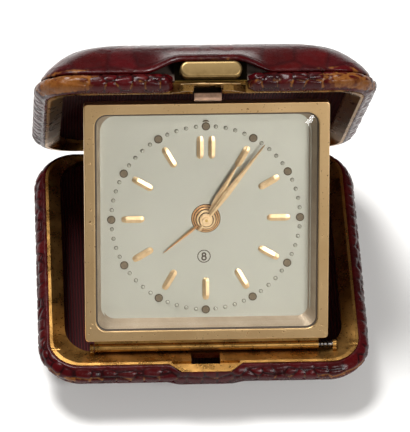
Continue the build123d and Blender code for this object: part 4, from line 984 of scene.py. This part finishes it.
# Steel of pins, screws, the smaller wheels and the pallet fork: drawn or turned, and oiled. It is bright
# and has a fine grain.
drawn_steel = clouded("drawn steel", 0.714, 4, "#8d8a88", "#b9b5b0", 0.3, 1)
finish_nodes(drawn_steel, "case_hinge_pin", "clock_hinge_pin", "cover_screws", "third_wheel", "fourth_wheel",
             "escape_wheel", "pallet_fork")

# Springs of the clock's hinge and the balance: steel wire and strip, wound cold. Tempering and dirt have
# darkened them.
spring_steel = clouded("dark spring steel", 0.714, 4, "#1c1a1a", "#565050", 0.32, 1)
finish_nodes(spring_steel, "clock_spring", "balance_spring")

# Button springs: two small coils of steel wire behind the push button.
press = joint_named("latch_slide")
press_axis = np.array(press["axis"], float)
coils = frame["nodes"]["button_springs"]
springs = linked("pressed_springs", coils.data.copy())
springs.data.transform(coils.matrix_world)
shape = bmesh.new()
shape.from_mesh(springs.data)
bmesh.ops.remove_doubles(shape, verts=shape.verts, dist=MERGE_DISTANCE / 2)
shape.to_mesh(springs.data)
shape.free()
springs.data.materials.clear()
springs.data.materials.append(spring_steel)
places = np.array([vertex.co for vertex in springs.data.vertices])
along = places @ press_axis
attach(springs, "lid")
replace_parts(springs, "button_springs")
tuple(places[along.argmax()])
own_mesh(springs)

# Brass of the movement: rolled sheet for plates and wheels, turned rod for barrels, keys and knobs. It is
# milled and lacquered, so it stays light.
rolled_brass = clouded("rolled brass", 1.25, 4, "#b08d4c", "#d6b878", 0.3, 1)
finish_nodes(rolled_brass, "alarm_wheel", "hour_wheel", "cannon_pinion", "minute_wheel", "front_plate",
             "back_plate", "pillars", "time_barrel", "alarm_barrel", "centre_wheel", "balance",
             "alarm_hammer", "time_winding_key", "alarm_winding_key", "hand_setting_knob",
             "alarm_setting_knob", "alarm_setting_wheel", "alarm_stop_button", "regulator_lever")

# Studio: a pale paper floor that reaches past the edges of every view, two large soft lamps and an even
# pale surround.
FLOOR_HALF = 3.0
LAMP_AIM = (0, 0, 0.04)
paper = surface("pale paper")
t = paper.node_tree
shader = add(t, "ShaderNodeBsdfDiffuse", None, {"Color": linear("#e9e8e6")})
add(t, "ShaderNodeOutputMaterial", None, {"Surface": shader.outputs[0]})
floor_mesh = bpy.data.meshes.new("floor")
floor_corners = [(FLOOR_HALF * x, FLOOR_HALF * y, 0) for x, y in ((-1, -1), (1, -1), (1, 1), (-1, 1))]
floor_mesh.from_pydata(floor_corners, [], [(0, 1, 2, 3)])
floor_mesh.materials.append(paper)
floor = linked("floor", floor_mesh)

world = bpy.data.worlds.new("surround")
bpy.context.scene.world = world
world.use_nodes = True
world.node_tree.nodes.clear()
back = add(world.node_tree, "ShaderNodeBackground", None, {"Color": linear("#eceae6"), "Strength": 0.2})
add(world.node_tree, "ShaderNodeOutputWorld", None, {"Surface": back.outputs[0]})


def soft_lamp(name, place, size, watts):
    """Square area lamp that faces the clock's middle."""
    light = bpy.data.lights.new(name, "AREA")
    light.size = size
    light.energy = watts
    lamp = linked(name, light)
    lamp.location = place
    lamp.rotation_euler = (Vector(LAMP_AIM) - Vector(place)).to_track_quat("-Z", "Y").to_euler()


soft_lamp("lamp_above", (-0.25, 0.3, 0.9), 0.36, 14)
soft_lamp("lamp_front", (0.45, -0.75, 0.75), 0.3, 8.5)

# Camera: long lens, looking down at the open clock as in the photograph. Its place was fitted to the bezel's
# corners, the dial's dots and both rims, and is given from the point that it looks at.
VIEW_YAW = 5.33
VIEW_PITCH = 49.931
VIEW_ROLL = 3.222
VIEW_DISTANCE = 999.8
VIEW_RIGHT = 0.892
VIEW_DOWN = 7.721
VIEW_CENTRE = Vector((0, 3.80, 41.5))
yaw, pitch, roll = radians(VIEW_YAW), radians(VIEW_PITCH), radians(VIEW_ROLL)
forward = Vector((sin(yaw) * cos(pitch), cos(yaw) * cos(pitch), -sin(pitch)))
level_right = Vector((cos(yaw), -sin(yaw), 0))
level_up = level_right.cross(forward)
right = cos(roll) * level_right + sin(roll) * level_up
up = -sin(roll) * level_right + cos(roll) * level_up
stand = (VIEW_CENTRE - forward * VIEW_DISTANCE + right * VIEW_RIGHT - up * VIEW_DOWN) * MM
camera = linked("camera", bpy.data.cameras.new("camera"))
camera.data.lens = 300
camera.data.sensor_width = 36
turn = Matrix((right, up, -forward)).transposed()
camera.matrix_world = Matrix.Translation(stand) @ turn.to_4x4()
bpy.context.scene.camera = camera

bpy.context.scene.view_settings.view_transform = "Standard"
